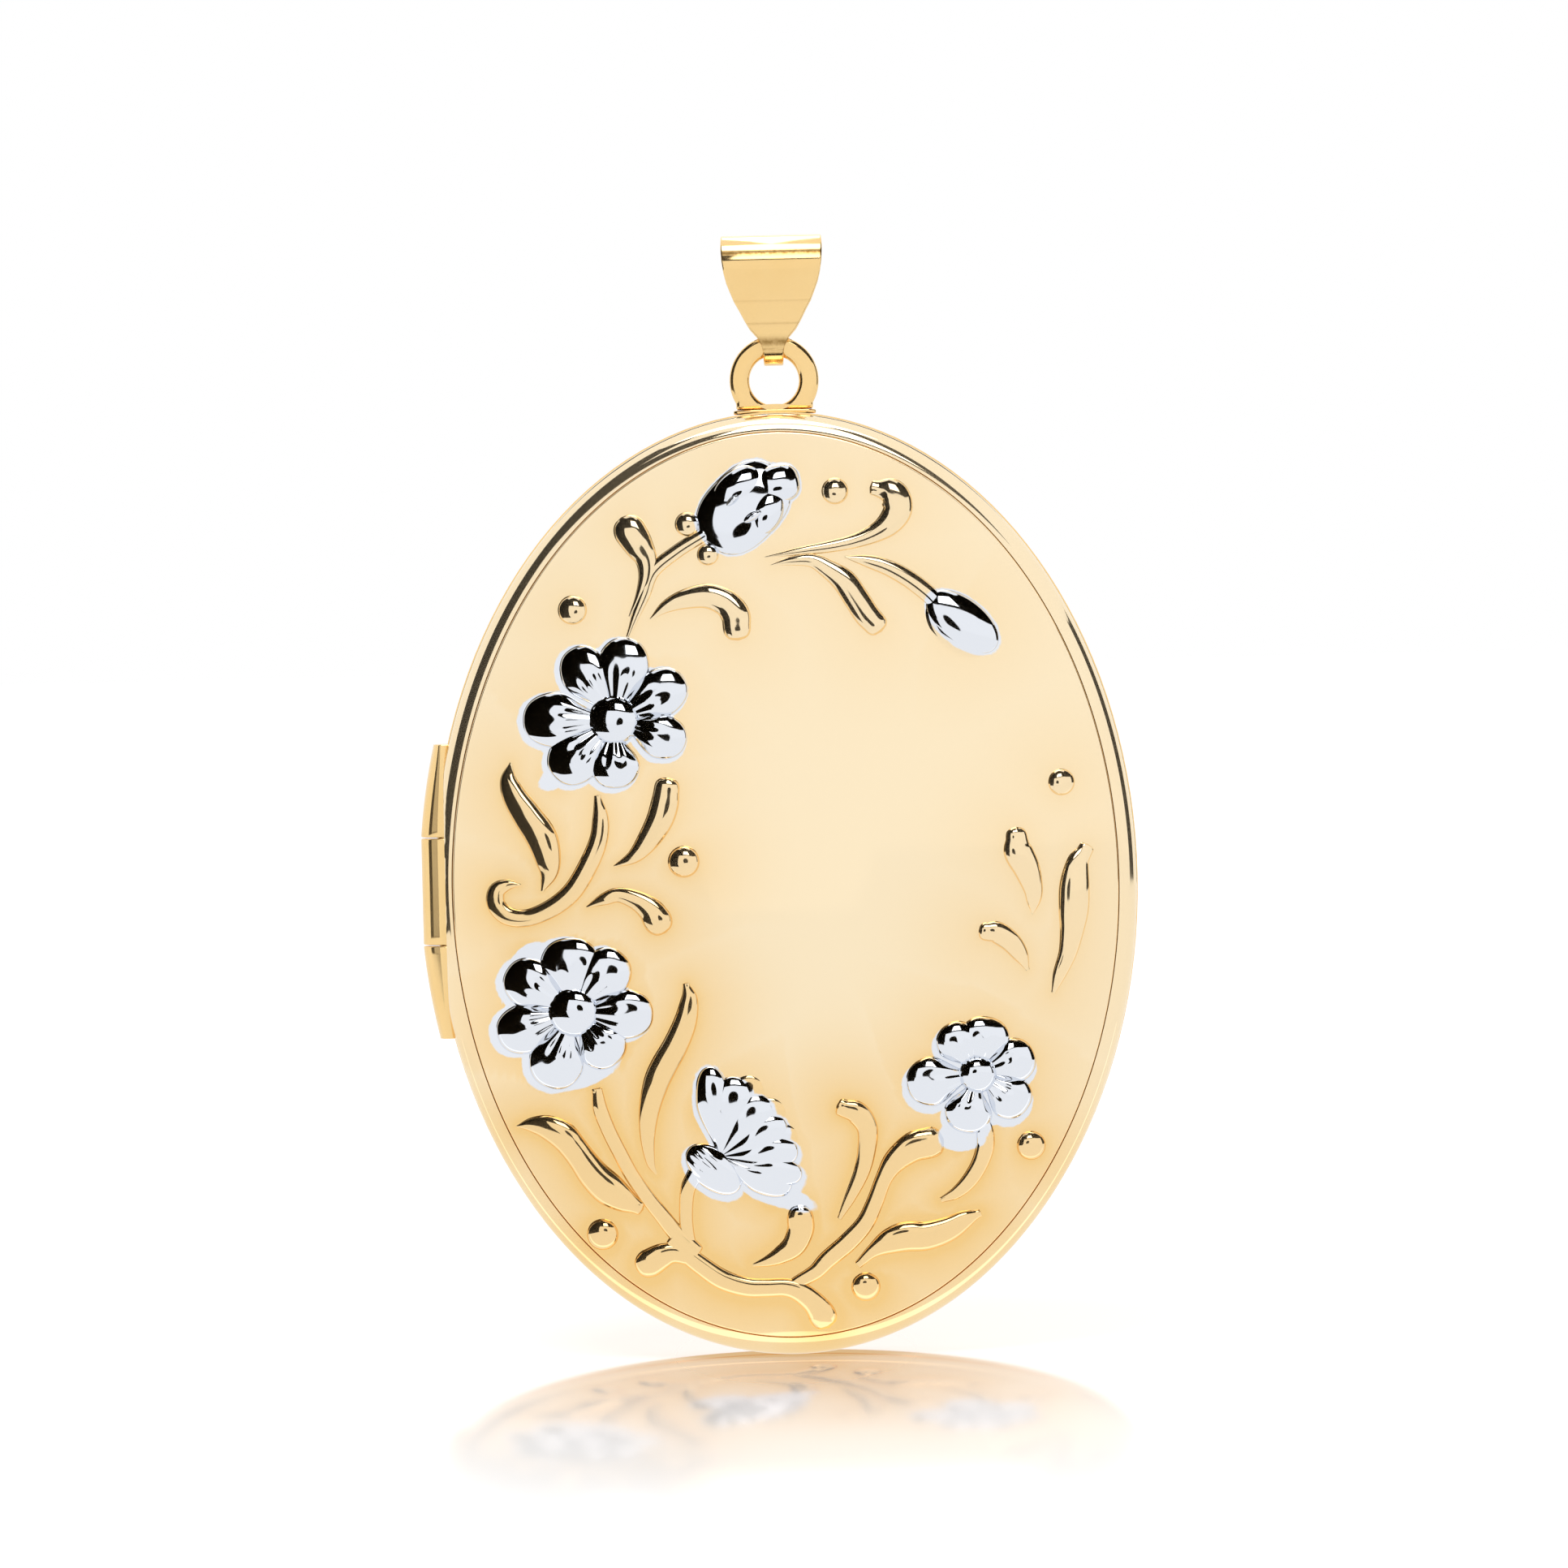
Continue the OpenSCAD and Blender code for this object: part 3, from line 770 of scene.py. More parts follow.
# each leaf: (across, up, width) along its middle
leaves = {
    "budLeaf": [(-6.2, 15.05, 1.4), (-5.85, 14.45, 1.25), (-5.55, 13.85, 0.95), (-5.55, 13.15, 0.7),
        (-5.85, 12.3, 0.4), (-6.25, 11.55, 0.15)],
    "budStem": [(-3.25, 14.75, 0.6), (-4.25, 14.15, 0.6), (-5.25, 13.35, 0.6), (-5.65, 12.35, 0.5),
        (-6.05, 11.45, 0.35), (-6.35, 10.7, 0.2)],
    "topComma": [(-5.35, 11.4, 0.15), (-4.75, 11.85, 0.55), (-3.95, 12.15, 0.85), (-3, 12.25, 1.05),
        (-2.25, 11.95, 1.15), (-1.85, 11.45, 1.25), (-1.8, 10.95, 1.2)],
    "topClub": [(-0.45, 13.85, 0.1), (0.9, 14.05, 0.35), (2.1, 14.2, 0.5), (3.15, 14.4, 0.6),
        (4, 14.7, 0.8), (4.65, 15.1, 1.05), (5.05, 15.65, 1.25), (5, 16.2, 1.3), (4.7, 16.5, 1.15),
        (4.25, 16.6, 0.7)],
    "topWave": [(-0.25, 13.5, 0.1), (0.55, 13.65, 0.4), (1.4, 13.65, 0.6), (2.05, 13.3, 0.8),
        (2.75, 12.75, 1.05), (3.25, 12, 1.1), (3.65, 11.35, 1.1), (3.95, 11, 1.05)],
    "sprigStem": [(2.9, 13.75, 0.15), (3.8, 13.55, 0.55), (4.65, 13.25, 0.7), (5.5, 12.75, 0.75),
        (6.25, 12.15, 0.75), (6.7, 11.65, 0.7)],
    "sideWave": [(-11.45, 5.35, 0.2), (-11.55, 4.7, 0.75), (-11.3, 4, 1.05), (-10.8, 3.2, 1.25),
        (-10.2, 2.25, 1.35), (-9.95, 1.3, 1.1), (-9.95, 0.7, 0.75), (-10.2, 0.1, 0.2)],
    "scroll": [(-7.8, 3.85, 0.35), (-7.7, 3.05, 0.7), (-7.8, 2.15, 0.8), (-8.25, 1.1, 0.85),
        (-8.95, 0, 0.85), (-9.85, -0.7, 0.8), (-10.9, -1.1, 0.75), (-11.75, -1, 0.8),
        (-12.2, -0.5, 0.8), (-12.15, 0.05, 0.75), (-11.7, 0.3, 0.5), (-11.2, 0.3, 0.15)],
    "sideHead": [(-4.9, 4.15, 1.1), (-5, 3.55, 1.2), (-5.25, 2.85, 1.15), (-5.75, 2.05, 0.95),
        (-6.35, 1.4, 0.6), (-7.1, 1.05, 0.15)],
    "sideComma": [(-8.3, -0.65, 0.15), (-7.6, -0.35, 0.55), (-7, -0.2, 0.65), (-6.25, -0.45, 0.85),
        (-5.7, -0.85, 1.1), (-5.4, -1.3, 1.25)],
    "longLeaf": [(-4.25, -4.1, 0.35), (-4.15, -4.65, 0.75), (-4.35, -5.6, 1), (-4.8, -6.6, 1.1),
        (-5.3, -7.45, 1.15), (-5.65, -8.2, 1.1), (-5.95, -9.3, 0.9), (-6.05, -10.45, 0.65),
        (-5.95, -11.5, 0.4), (-5.75, -11.95, 0.15)],
    "lowStem": [(-8.1, -8.55, 0.5), (-8, -9.25, 0.65), (-7.65, -10.2, 0.65), (-7.2, -11.15, 0.65),
        (-6.75, -12.05, 0.65), (-6.15, -12.95, 0.65), (-5.5, -13.8, 0.7), (-4.9, -14.6, 0.75),
        (-4.3, -15.2, 0.8)],
    "lowLeaf": [(-11.5, -9.9, 0.15), (-10.95, -9.85, 0.65), (-10.3, -9.95, 1.05), (-9.65, -10.3, 1.25),
        (-9.25, -10.75, 1.2), (-8.85, -11.3, 1.2), (-8.35, -12, 1.35), (-7.75, -12.6, 1.45),
        (-7.15, -13.05, 1.15), (-6.6, -13.35, 0.7)],
    "rootStem": [(-4.95, -14.95, 0.75), (-4.5, -15.45, 0.8), (-3.9, -15.95, 0.85), (-3.05, -16.55, 0.9),
        (-2.05, -16.9, 0.85), (-1.2, -16.95, 0.8), (-0.4, -16.95, 0.8), (0.2, -17.15, 0.9),
        (0.75, -17.6, 1), (1.05, -18, 1.15), (1.15, -18.2, 1.2)],
    "rootClub": [(-6.1, -15.8, 1.25), (-5.55, -15.5, 1.1), (-5.05, -15.4, 0.85), (-4.45, -15.55, 0.75)],
    "fanStem": [(-4.1, -12.05, 0.7), (-4.4, -12.65, 0.65), (-4.5, -13.5, 0.6), (-4.5, -14.25, 0.6),
        (-4.4, -14.95, 0.6), (-4.15, -15.55, 0.55)],
    "fanLeaf": [(0.3, -14, 1.15), (0.3, -14.5, 1.15), (0, -15.15, 1.05), (-0.55, -15.55, 0.8),
        (-1.1, -15.8, 0.5), (-1.65, -15.95, 0.2)],
    "rightStem": [(0.2, -16.7, 0.6), (0.9, -16.3, 0.7), (1.4, -15.8, 0.8), (2.25, -15.1, 0.85),
        (3, -14.3, 0.8), (3.45, -13.4, 0.75), (3.85, -12.4, 0.75), (4.35, -11.65, 1.05),
        (5.1, -11.1, 1.3), (5.75, -10.95, 1.35)],
    "rightHead": [(2.3, -9.4, 0.8), (2.8, -9.6, 1), (3.2, -10.25, 0.9), (3.15, -11.2, 0.8),
        (2.9, -12.15, 0.7), (2.4, -13.2, 0.5), (2, -13.95, 0.25)],
    "blossomStem": [(8.05, -9.7, 0.35), (8.15, -10.45, 0.75), (8.15, -11.15, 0.8), (7.9, -11.9, 0.75),
        (7.45, -12.6, 0.7), (6.9, -13.1, 0.55), (6.35, -13.35, 0.3)],
    "rightLeaf": [(2.8, -15.95, 0.4), (3.3, -15.5, 0.6), (4, -15.1, 1.1), (4.75, -14.9, 1.3),
        (5.6, -14.9, 1.25), (6.5, -14.65, 1.1), (7.25, -14.25, 0.8), (7.75, -14.05, 0.4)],
    "farLeafA": [(9.75, 1.8, 0.95), (9.8, 1.25, 1.25), (10.15, 0.5, 1.15), (10.4, -0.35, 0.85),
        (10.4, -0.9, 0.6), (10.35, -1.35, 0.15)],
    "farLeafB": [(12.6, 1.15, 0.7), (12.3, 0.65, 1), (12.15, -0.25, 1.3), (12.1, -1.25, 1.3),
        (12, -2.15, 1.05), (11.8, -3.1, 0.8), (11.45, -3.95, 0.6), (11.2, -4.65, 0.25)],
    "farLeafC": [(8.45, -2.1, 0.8), (8.85, -2.15, 0.95), (9.4, -2.55, 0.9), (9.8, -3.1, 0.7),
        (10.05, -3.65, 0.25)],
}

# each bead: (across, up, radius)
beads = [
    (2.45, 16.55, 0.55), (-8.7, 11.8, 0.6), (-3.8, 15.3, 0.5), (-2.95, 14, 0.45), (-4.25, 1.15, 0.65),
    (-8.05, -14.55, 0.65), (3, -17, 0.6), (10.1, -11.2, 0.6), (11.7, 4.1, 0.55),
]
beadForm = {"spread": 2.08, "height": 0.62}     # full width and height against the radius

# each flower: middle, radius of its boss, where the plating slipped to, petals as (angle, reach, width)
flowers = {
    "upper": {"middle": (-7.05, 7.15), "boss": 0.97, "slip": (-0.12, -0.08),
              "petals": [(120, 3.5, 1.75), (79, 3.5, 1.85), (29, 3.45, 1.7), (-20, 3.2, 1.6),
                         (-90, 2.9, 1.75), (-137, 3.5, 1.85), (179, 3.85, 1.95)]},
    "lower": {"middle": (-9.05, -5.1), "boss": 0.97, "slip": (-0.2, -0.05),
              "petals": [(92, 3.16, 2.1), (49, 3.26, 1.8), (-3, 3.4, 1.75), (-50, 2.85, 1.75),
                         (-110, 3.4, 1.95), (198, 3.4, 1.75), (146, 3.33, 1.8)]},
    "right": {"middle": (7.9, -8.1), "boss": 0.74, "slip": (-0.08, -0.22),
              "petals": [(121, 2.5, 1.5), (78, 2.48, 1.75), (19, 2.55, 1.6), (-37, 2.6, 1.6),
                         (-105, 2.55, 1.7), (187, 3.05, 1.75)]},
}

petalForm = {"height": 0.46, "taper": 0.4, "ridges": 1.75, "root": 0.5, "square": 2.3}
bossForm = {"spread": 2.2, "height": 0.56, "cover": 0.5}    # cover is the share over the petals' roots
petalSpread = 1.24      # the widths are those that show where the petals overlap

# the side-on blossom: ribs as (angle, reach, width), fanned out from its foot
fan = {
    "foot": (-3, -11.3), "slip": (-0.03, -0.15), "spread": 1.65, "height": 0.46, "backHeight": 0.26,
    "ribs": [(96, 3.84, 0.95), (77, 3.45, 1.25), (51, 3.2, 1.2), (27, 3.15, 1.05), (3, 3.3, 1),
             (-15, 3.55, 0.9), (-27, 3.3, 0.95)],
    "backRibs": [(66, 3.7, 1.1), (40, 3.45, 1.1), (15, 3.4, 1)],
    "calyx": {"middle": (-3.3, -11.85), "turn": -41, "length": 2.8, "width": 1.75, "height": 0.42},
}

ribForm = {"taper": 0.3, "ridges": 1, "root": 0.7, "square": 2.3}

# buds as overlapping lobes, lowest first
rosebud = [
    {"middle": (-1.4, 15.95), "turn": 44, "length": 4.3, "width": 3.2, "height": 0.48, "square": 2.5},
    {"middle": (-1.6, 16.75), "turn": 35, "length": 2.6, "width": 1.7, "height": 0.56},
    {"middle": (0.05, 16.9), "turn": 12, "length": 1.9, "width": 1.7, "height": 0.52, "square": 2.6},
    {"middle": (-0.45, 15.75), "turn": 65, "length": 2.2, "width": 1.5, "height": 0.54},
    {"middle": (-1.82, 16.2), "turn": 42, "length": 0.95, "width": 0.42, "height": 0.66},
    {"middle": (-1, 15.5), "turn": 30, "length": 1.2, "width": 0.5, "height": 0.66},
]
smallBud = {"middle": (7.68, 10.93), "turn": -39, "length": 3.6, "width": 2, "height": 0.42}
smallBudSepal = {"middle": (7.5, 10.72), "turn": -42, "length": 3.3, "width": 2, "height": 0.25}

# white that ran past the forms: (middle, turn, length, width)
spills = [
    ((-10.9, -2.7), 35, 1.7, 0.9), ((-8.6, -7.75), 20, 3, 1), ((7.15, -10.7), 0, 2.1, 1.3),
    ((-0.7, -12.95), -20, 3.6, 1), ((-9.6, 4.75), 30, 1.5, 0.9),
]
petalPlating, budPlating = 0.09, 0.05   # mm that the white reaches past a petal and past a bud
plated = []                             # lobes that carry rhodium: (lobe, slip, spread)

# painted reflection: how deep a gold is painted on the front, deep beside the forms and towards the lower
# left and the foot, standing in for gold reflected in gold and dimmer reflected light there
ground = {
    "least": 0.3,           # at the upper right, where the least deep gold is painted
    "slope": (0.5, 0.87),   # across and up: the way in which it gets less
    "begin": 9,             # mm
    "reach": 20,            # mm to the full depth at the lower left
    "close": (0.45, 0.4),   # share beside the forms, and mm over which it fades
    "wide": (0.55, 2.6),    # the same, further out
    "low": (0.25, 2, 18),   # share, begin and reach in mm of the deepening towards the foot
    "forms": 0.75,          # share on the forms themselves
}


def lobe(middle, turn, length, width, height, taper=1, ridges=0, root=1, square=2):
    return dict(middle=middle, turn=math.radians(turn), length=length, width=width, height=height,
                taper=taper, ridges=ridges, root=root, square=square)


def narrowing(form, along):
    return form["taper"] + (1 - form["taper"]) * easeUp((along + 1) / lobeForm["narrowReach"])


def makeLobe(form, segments=64, rings=44):
    # a ball pressed into a low, round-edged lobe that swells from its root
    obj, ball, reach, turn = startBall(segments, rings)
    power = form["square"]
    corner = (np.abs(np.cos(turn)) ** power + np.abs(np.sin(turn)) ** power) ** (-1 / power)
    along, across = reach * np.cos(turn) * corner, reach * np.sin(turn) * corner
    swell = form["root"] + (1 - form["root"]) * easeUp((along + 1) / lobeForm["swellReach"])
    crown = (1 - reach ** lobeForm["crown"]) ** lobeForm["roundness"]
    begin, run = lobeForm["ridgeEnd"]
    fold = np.cos(2 * math.pi * form["ridges"] * across) * (1 - easeUp((along + begin) / run))
    top = form["height"] * crown * (swell + (lobeForm["ridge"] * fold if form["ridges"] else 0))
    under = -lobeForm["underside"] * (1 - reach ** 2)
    height = np.where(ball[:, 2] >= 0, top, under) - lobeForm["bury"]
    x = along * form["length"] / 2
    y = across * form["width"] / 2 * narrowing(form, along)
    cos, sin = math.cos(form["turn"]), math.sin(form["turn"])
    setPoints(obj, np.stack([form["middle"][0] + x * cos - y * sin,
                             form["middle"][1] + x * sin + y * cos, height], axis=1))
    return obj


def insideLobe(form, x, z):
    # distance inside a lobe's edge in mm, negative outside
    dx, dz = x - form["middle"][0], z - form["middle"][1]
    cos, sin = math.cos(form["turn"]), math.sin(form["turn"])
    along = (dx * cos + dz * sin) / (form["length"] / 2)
    across = (dz * cos - dx * sin) / (form["width"] / 2 * narrowing(form, along))
    power = form["square"]
    radius = (np.abs(along) ** power + np.abs(across) ** power) ** (1 / power)
    return (1 - radius) * min(form["length"], form["width"]) / 2


def alongRoute(route, share):
    # a smooth line through the points, with its width, and the direction it runs in
    knots = np.array([route[0]] + list(route) + [route[-1]], float)
    spans = len(route) - 1
    run = np.clip(share, 0, 1) * spans
    index = np.minimum(run.astype(int), spans - 1)
    t = (run - index)[:, None]
    p0, p1, p2, p3 = [knots[index + i] for i in range(4)]
    spot = 0.5 * (2 * p1 + (p2 - p0) * t + (2 * p0 - 5 * p1 + 4 * p2 - p3) * t ** 2
                  + (3 * p1 - p0 - 3 * p2 + p3) * t ** 3)
    way = 0.5 * ((p2 - p0) + 2 * (2 * p0 - 5 * p1 + 4 * p2 - p3) * t
                 + 3 * (3 * p1 - p0 - 3 * p2 + p3) * t ** 2)[:, :2]
    return spot, way / np.linalg.norm(way, axis=1)[:, None]


def lengthened(route):
    # carried on by half a width at both ends, so that the round ends are centred on the end points
    first, last = [], []
    for end, (a, b) in ((first, (route[0], route[1])), (last, (route[-1], route[-2]))):
        step = max(a[2], leafForm["shortestEnd"]) / 2 / math.dist(a[:2], b[:2])
        end.append((a[0] + (a[0] - b[0]) * step, a[1] + (a[1] - b[1]) * step, a[2]))
    return first + list(route) + last


def makeLeaf(name, route, segments=112, rings=34):
    # a ball drawn out along the route: broad flat back, steep sides, round ends
    leaf, ball, reach, turn = startBall(segments, rings)
    leaf.name = name
    along = reach * np.cos(turn)
    across = np.clip(reach * np.sin(turn) / np.sqrt(np.maximum(1 - along ** 2, 1e-9)), -1, 1)
    share = 0.5 + np.arcsin(np.clip(along, -1, 1)) / math.pi
    route = lengthened(route)
    spot, way = alongRoute(route, share)
    length = sum(math.dist(a[:2], b[:2]) for a, b in zip(route, route[1:]))
    half = np.maximum(spot[:, 2], leafForm["thinnest"]) / 2
    ends = [max(point[2], leafForm["shortestEnd"]) / 2 / length for point in (route[0], route[-1])]
    nearStart = np.clip(1 - share / ends[0], 0, 1)
    nearEnd = np.clip(1 - (1 - share) / ends[1], 0, 1)
    cap = np.sqrt(np.maximum(1 - nearStart ** 2 - nearEnd ** 2, 0))
    side = across * half * cap
    crown = (1 - np.abs(across) ** leafForm["crown"]) ** leafForm["roundness"]
    top = (leafForm["height"] * half + leafForm["floor"]) * crown * cap ** leafForm["endFall"]
    top -= leafForm["bury"]
    under = -leafForm["bury"] - leafForm["underside"] * cap * (1 - across ** 2)
    flat = spot[:, :2] + np.stack([-way[:, 1], way[:, 0]], axis=1) * side[:, None]
    setPoints(leaf, np.column_stack([flat, np.where(ball[:, 2] >= 0, top, under)]))
    return leaf


def makeBead(x, z, radius):
    across = beadForm["spread"] * radius
    return makeLobe(lobe((x, z), 0, across, across, beadForm["height"] * radius), 48, 32)


def platingAt(x, z):
    best = np.full(x.shape, -9.0)
    for form, slip, spread in plated:
        best = np.maximum(best, insideLobe(form, x - slip[0], z - slip[1]) + spread)
    return best


def layOnDome(obj, dome):
    points = getPoints(obj)
    x, z = points[:, 0], points[:, 1]
    setAttribute(obj, "plating", platingAt(x, z))
    # painted reflection: the forms carry some of the deeper gold too
    setAttribute(obj, "worked", ground["forms"] * paintedReflectionShare(x, z))
    setPoints(obj, dome.onSurface(x, z, points[:, 2]))


def paintedReflectionShare(x, z):
    # painted reflection: the gold is painted deepest at the lower left, standing in for the dimmer light
    # reflected there
    across, up = ground["slope"]
    depth = easeUp((ground["begin"] - across * x - up * z) / ground["reach"])
    return ground["least"] + (1 - ground["least"]) * depth


def petalLobes(flower):
    lobes = []
    for angle, reach, width in flower["petals"]:
        start = bossForm["cover"] * flower["boss"]
        out = (reach + start) / 2
        turn = math.radians(angle)
        middle = (flower["middle"][0] + out * math.cos(turn), flower["middle"][1] + out * math.sin(turn))
        lobes.append(lobe(middle, angle, reach - start, petalSpread * width, **petalForm))
    boss = bossForm["spread"] * flower["boss"]
    lobes.append(lobe(flower["middle"], 0, boss, boss, bossForm["height"]))
    return lobes


def fanLobes():
    def rib(angle, reach, width, height):
        turn = math.radians(angle)
        middle = (fan["foot"][0] + reach / 2 * math.cos(turn), fan["foot"][1] + reach / 2 * math.sin(turn))
        return lobe(middle, angle, reach, fan["spread"] * width, height, **ribForm)

    back = [rib(*values, fan["backHeight"]) for values in fan["backRibs"]]
    ribs = [rib(*values, fan["height"]) for values in fan["ribs"]]
    return back, ribs + [lobe(**fan["calyx"], ridges=2)]


def makeEmbossing():
    pieces = []
    groups = {}
    for name, flower in flowers.items():
        groups["flower_" + name] = petalLobes(flower)
        plated.extend((form, flower["slip"], petalPlating) for form in groups["flower_" + name])
    backRibs, ribs = fanLobes()
    groups["fan_blossom"] = backRibs + ribs
    plated.extend((form, fan["slip"], petalPlating) for form in ribs)
    bud = [lobe(**form) for form in rosebud]
    white = lobe(**smallBud)
    groups["buds"] = bud + [lobe(**smallBudSepal), white]
    plated.extend((form, (0, 0), budPlating) for form in bud + [white])
    for middle, turn, length, width in spills:
        plated.append((lobe(middle, turn, length, width, 1), (0, 0), 0))
    for name, forms in groups.items():
        pieces.append(joinAll("embossed_" + name, [makeLobe(form) for form in forms]))
    halves = {"leaves_upper": [], "leaves_lower": []}
    for name, route in leaves.items():
        half = "leaves_upper" if route[0][1] > -3 else "leaves_lower"
        halves[half].append(makeLeaf(name, route))
    for name, parts in halves.items():
        pieces.append(joinAll("embossed_" + name, parts))
    pieces.append(joinAll("embossed_beads", [makeBead(*bead) for bead in beads]))
    return pieces


def shadeField(cover, flat):
    # painted reflection: the field next to the forms is painted a deeper gold, standing in for the forms'
    # gold reflected in it
    tree = KDTree(20000)
    forms = []
    for route in leaves.values():
        steps = np.linspace(0, len(route) - 1, 8 * len(route))
        spread = np.array([[np.interp(s, range(len(route)), [p[i] for p in route]) for i in range(3)]
                           for s in steps])
        forms.extend((x, z, width / 2) for x, z, width in spread)
    forms.extend(beads)
    for form, slip, spread in plated:
        forms.append((form["middle"][0], form["middle"][1], min(form["length"], form["width"]) / 2))
    for index, (x, z, radius) in enumerate(forms):
        tree.insert((x, z, 0), index)
    tree.balance()
    gap = np.zeros(len(flat))
    for index, (x, height, z) in enumerate(flat):
        found = tree.find_n((x, z, 0), 3)
        gap[index] = max(0, min(distance - forms[hit][2] for point, hit, distance in found))
    closeShare, closeFade = ground["close"]
    wideShare, wideFade = ground["wide"]
    lowShare, lowBegin, lowReach = ground["low"]
    near = closeShare * np.exp(-gap / closeFade) + wideShare * np.exp(-(gap / wideFade) ** 2)
    x, z = flat[:, 0], flat[:, 2]
    low = lowShare * easeUp((-z - lowBegin) / lowReach)
    setAttribute(cover, "worked", near * paintedReflectionShare(x, z) + low)
    setAttribute(cover, "plating", platingAt(x, z))


embossing = makeEmbossing()
shadeField(frontCover, frontFlat)
finishPiece(frontCover, platedGold, "front_half", "two_tone_gold", "front_cover")
for piece in embossing:
    layOnDome(piece, frontDome)
    finishPiece(piece, platedGold, "front_half", "two_tone_gold", "front_cover")
finishPiece(backCover, polishedGold, "back_half", "polished_gold", "back_cover")
print("embossing laid on the front:", len(embossing), "pieces")


# bail: a strip folded over at the top, narrowed to pass the ring

bail = {
    "corner": 0.07,
    "widths": [
        (-4.3, 0.41), (-3.6, 0.43), (-3.3, 0.5), (-2.95, 0.69), (-2.6, 0.99), (-2.2, 1.22), (-1.8, 1.42),
        (-1.4, 1.64), (-1, 1.8), (-0.6, 1.95), (-0.2, 2.05), (0.25, 2.12), (0.8, 2.15), (1.4, 2.12),
    ],                  # height, half width
    "thickness": 0.28,
    "drop": 3.33,       # from the middle of the big round to the middle of the small one
    "reflectionLineRows": [
        (0.44, 0.11, 1), (-1.55, 0.03, 0.35), (-2.45, 0.04, 0.3), (-3.2, 0.17, 0.85),
        (-3.52, 0.05, 0.6), (-3.66, 0.04, 0.6),
    ],                  # height, half width, strength of the painted dark reflection lines
    "sag": 0.03,        # mm that the lines drop at 1 mm from the middle
}


def bailPath(shares):
    # the strip's middle line seen from the side: a big round at the top, a small one at the ring;
    # each point comes with the direction that faces out of the loop
    low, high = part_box("bail")
    drop = bail["drop"]
    half = bail["thickness"] / 2
    top, tip = high[1] / mm - half, -low[2] / mm - drop - half
    lean = math.asin((top - tip) / drop)
    topArc, tipArc = (math.pi + 2 * lean) * top, (math.pi - 2 * lean) * tip
    leg = drop * math.cos(lean)

    def onRound(radius, below, angle):
        y, z = math.cos(angle), math.sin(angle)
        return radius * y, radius * z - below, y, z

    def onLeg(angle, begin, finish, share):
        y, z = math.cos(angle), math.sin(angle)
        (fromRadius, fromBelow), (toRadius, toBelow) = begin, finish
        start = Vector((fromRadius * y, fromRadius * z - fromBelow))
        spot = start.lerp(Vector((toRadius * y, toRadius * z - toBelow)), share)
        return spot.x, spot.y, y, z

    def pointAt(run):
        if run < topArc:
            return onRound(top, 0, run / top - lean)
        run -= topArc
        if run < leg:
            return onLeg(math.pi + lean, (top, 0), (tip, drop), run / leg)
        run -= leg
        if run < tipArc:
            return onRound(tip, drop, math.pi + lean + run / tip)
        return onLeg(-lean, (tip, drop), (top, 0), (run - tipArc) / leg)

    total = topArc + tipArc + 2 * leg
    return np.array([pointAt(share * total) for share in shares])


def roundedSection(halfWide, halfThick, corner, count):
    # evenly numbered points round a flat bar with rounded corners
    points = []
    perCorner = count // 4
    for quarter, (sx, sy) in enumerate(((1, 1), (-1, 1), (-1, -1), (1, -1))):
        for i in range(perCorner):
            turn = math.pi / 2 * (quarter + i / (perCorner - 1))
            points.append((sx * (halfWide - corner) + corner * math.cos(turn),
                           sy * (halfThick - corner) + corner * math.sin(turn)))
    return points


def makeBail():
    around, across = 320, 24
    obj, _, major, minor = startLoop(around, across)
    path = bailPath(np.arange(around) / around)
    heights, halves = zip(*bail["widths"])
    points = np.zeros((len(major), 3))
    for index in range(len(major)):
        y, z, outY, outZ = path[major[index]]
        half = float(np.interp(z, heights, halves))
        wide, thick = roundedSection(half, bail["thickness"] / 2, bail["corner"], across)[minor[index]]
        points[index] = (wide, y + outY * thick, z + outZ * thick)
    # painted reflection: dark lines on the face towards the viewer only, standing in for the ring and its
    # surroundings reflected there
    dark = np.zeros(len(points))
    for height, half, strength in bail["reflectionLineRows"]:
        line = height + bail["sag"] * points[:, 0] ** 2
        dark = np.maximum(dark, strength * np.exp(-((points[:, 2] - line) / half) ** 2))
    setAttribute(obj, "tarnish", dark * (points[:, 1] < 0))
    setPoints(obj, points * mm)
    obj.name = "bail_strip"
    return obj


def faceOutwards(obj):
    activeAlone(obj)
    bpy.ops.object.mode_set(mode="EDIT")
    bpy.ops.mesh.select_all(action="SELECT")
    bpy.ops.mesh.remove_doubles(threshold=1e-7)
    bpy.ops.mesh.normals_make_consistent(inside=False)
    bpy.ops.object.mode_set(mode="OBJECT")


# ring: a flat washer with softened edges, squared off below where it stands on its foot

ringForm = {"inner": 1.05, "outer": 1.89, "neckHalf": 1.63, "footDrop": 1.22, "corner": 0.22}   # mm


def makeRing():
    low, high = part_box("bail_ring")
    centreZ = high[2] / mm - ringForm["outer"]
    halfThick = (high[1] - low[1]) / 2 / mm
    inner, neck = ringForm["inner"], ringForm["neckHalf"]
    across = 32
    obj, turns, _, minor = startLoop(144, across)
    points = np.zeros((len(turns), 3))
    for index, turn in enumerate(turns):
        cos, sin = math.cos(turn), math.sin(turn)
        outer = ringForm["outer"]
        if sin < 0 and outer * abs(cos) < neck:
            outer = min(neck / max(abs(cos), 1e-6), ringForm["footDrop"] / -sin)
        section = roundedSection((outer - inner) / 2, halfThick, ringForm["corner"], across)
        side, thick = section[minor[index]]
        radius = (inner + outer) / 2 + side
        points[index] = (radius * cos, thick, centreZ + radius * sin)
    setPoints(obj, points * mm)
    obj.name = "bail_ring_washer"
    return obj


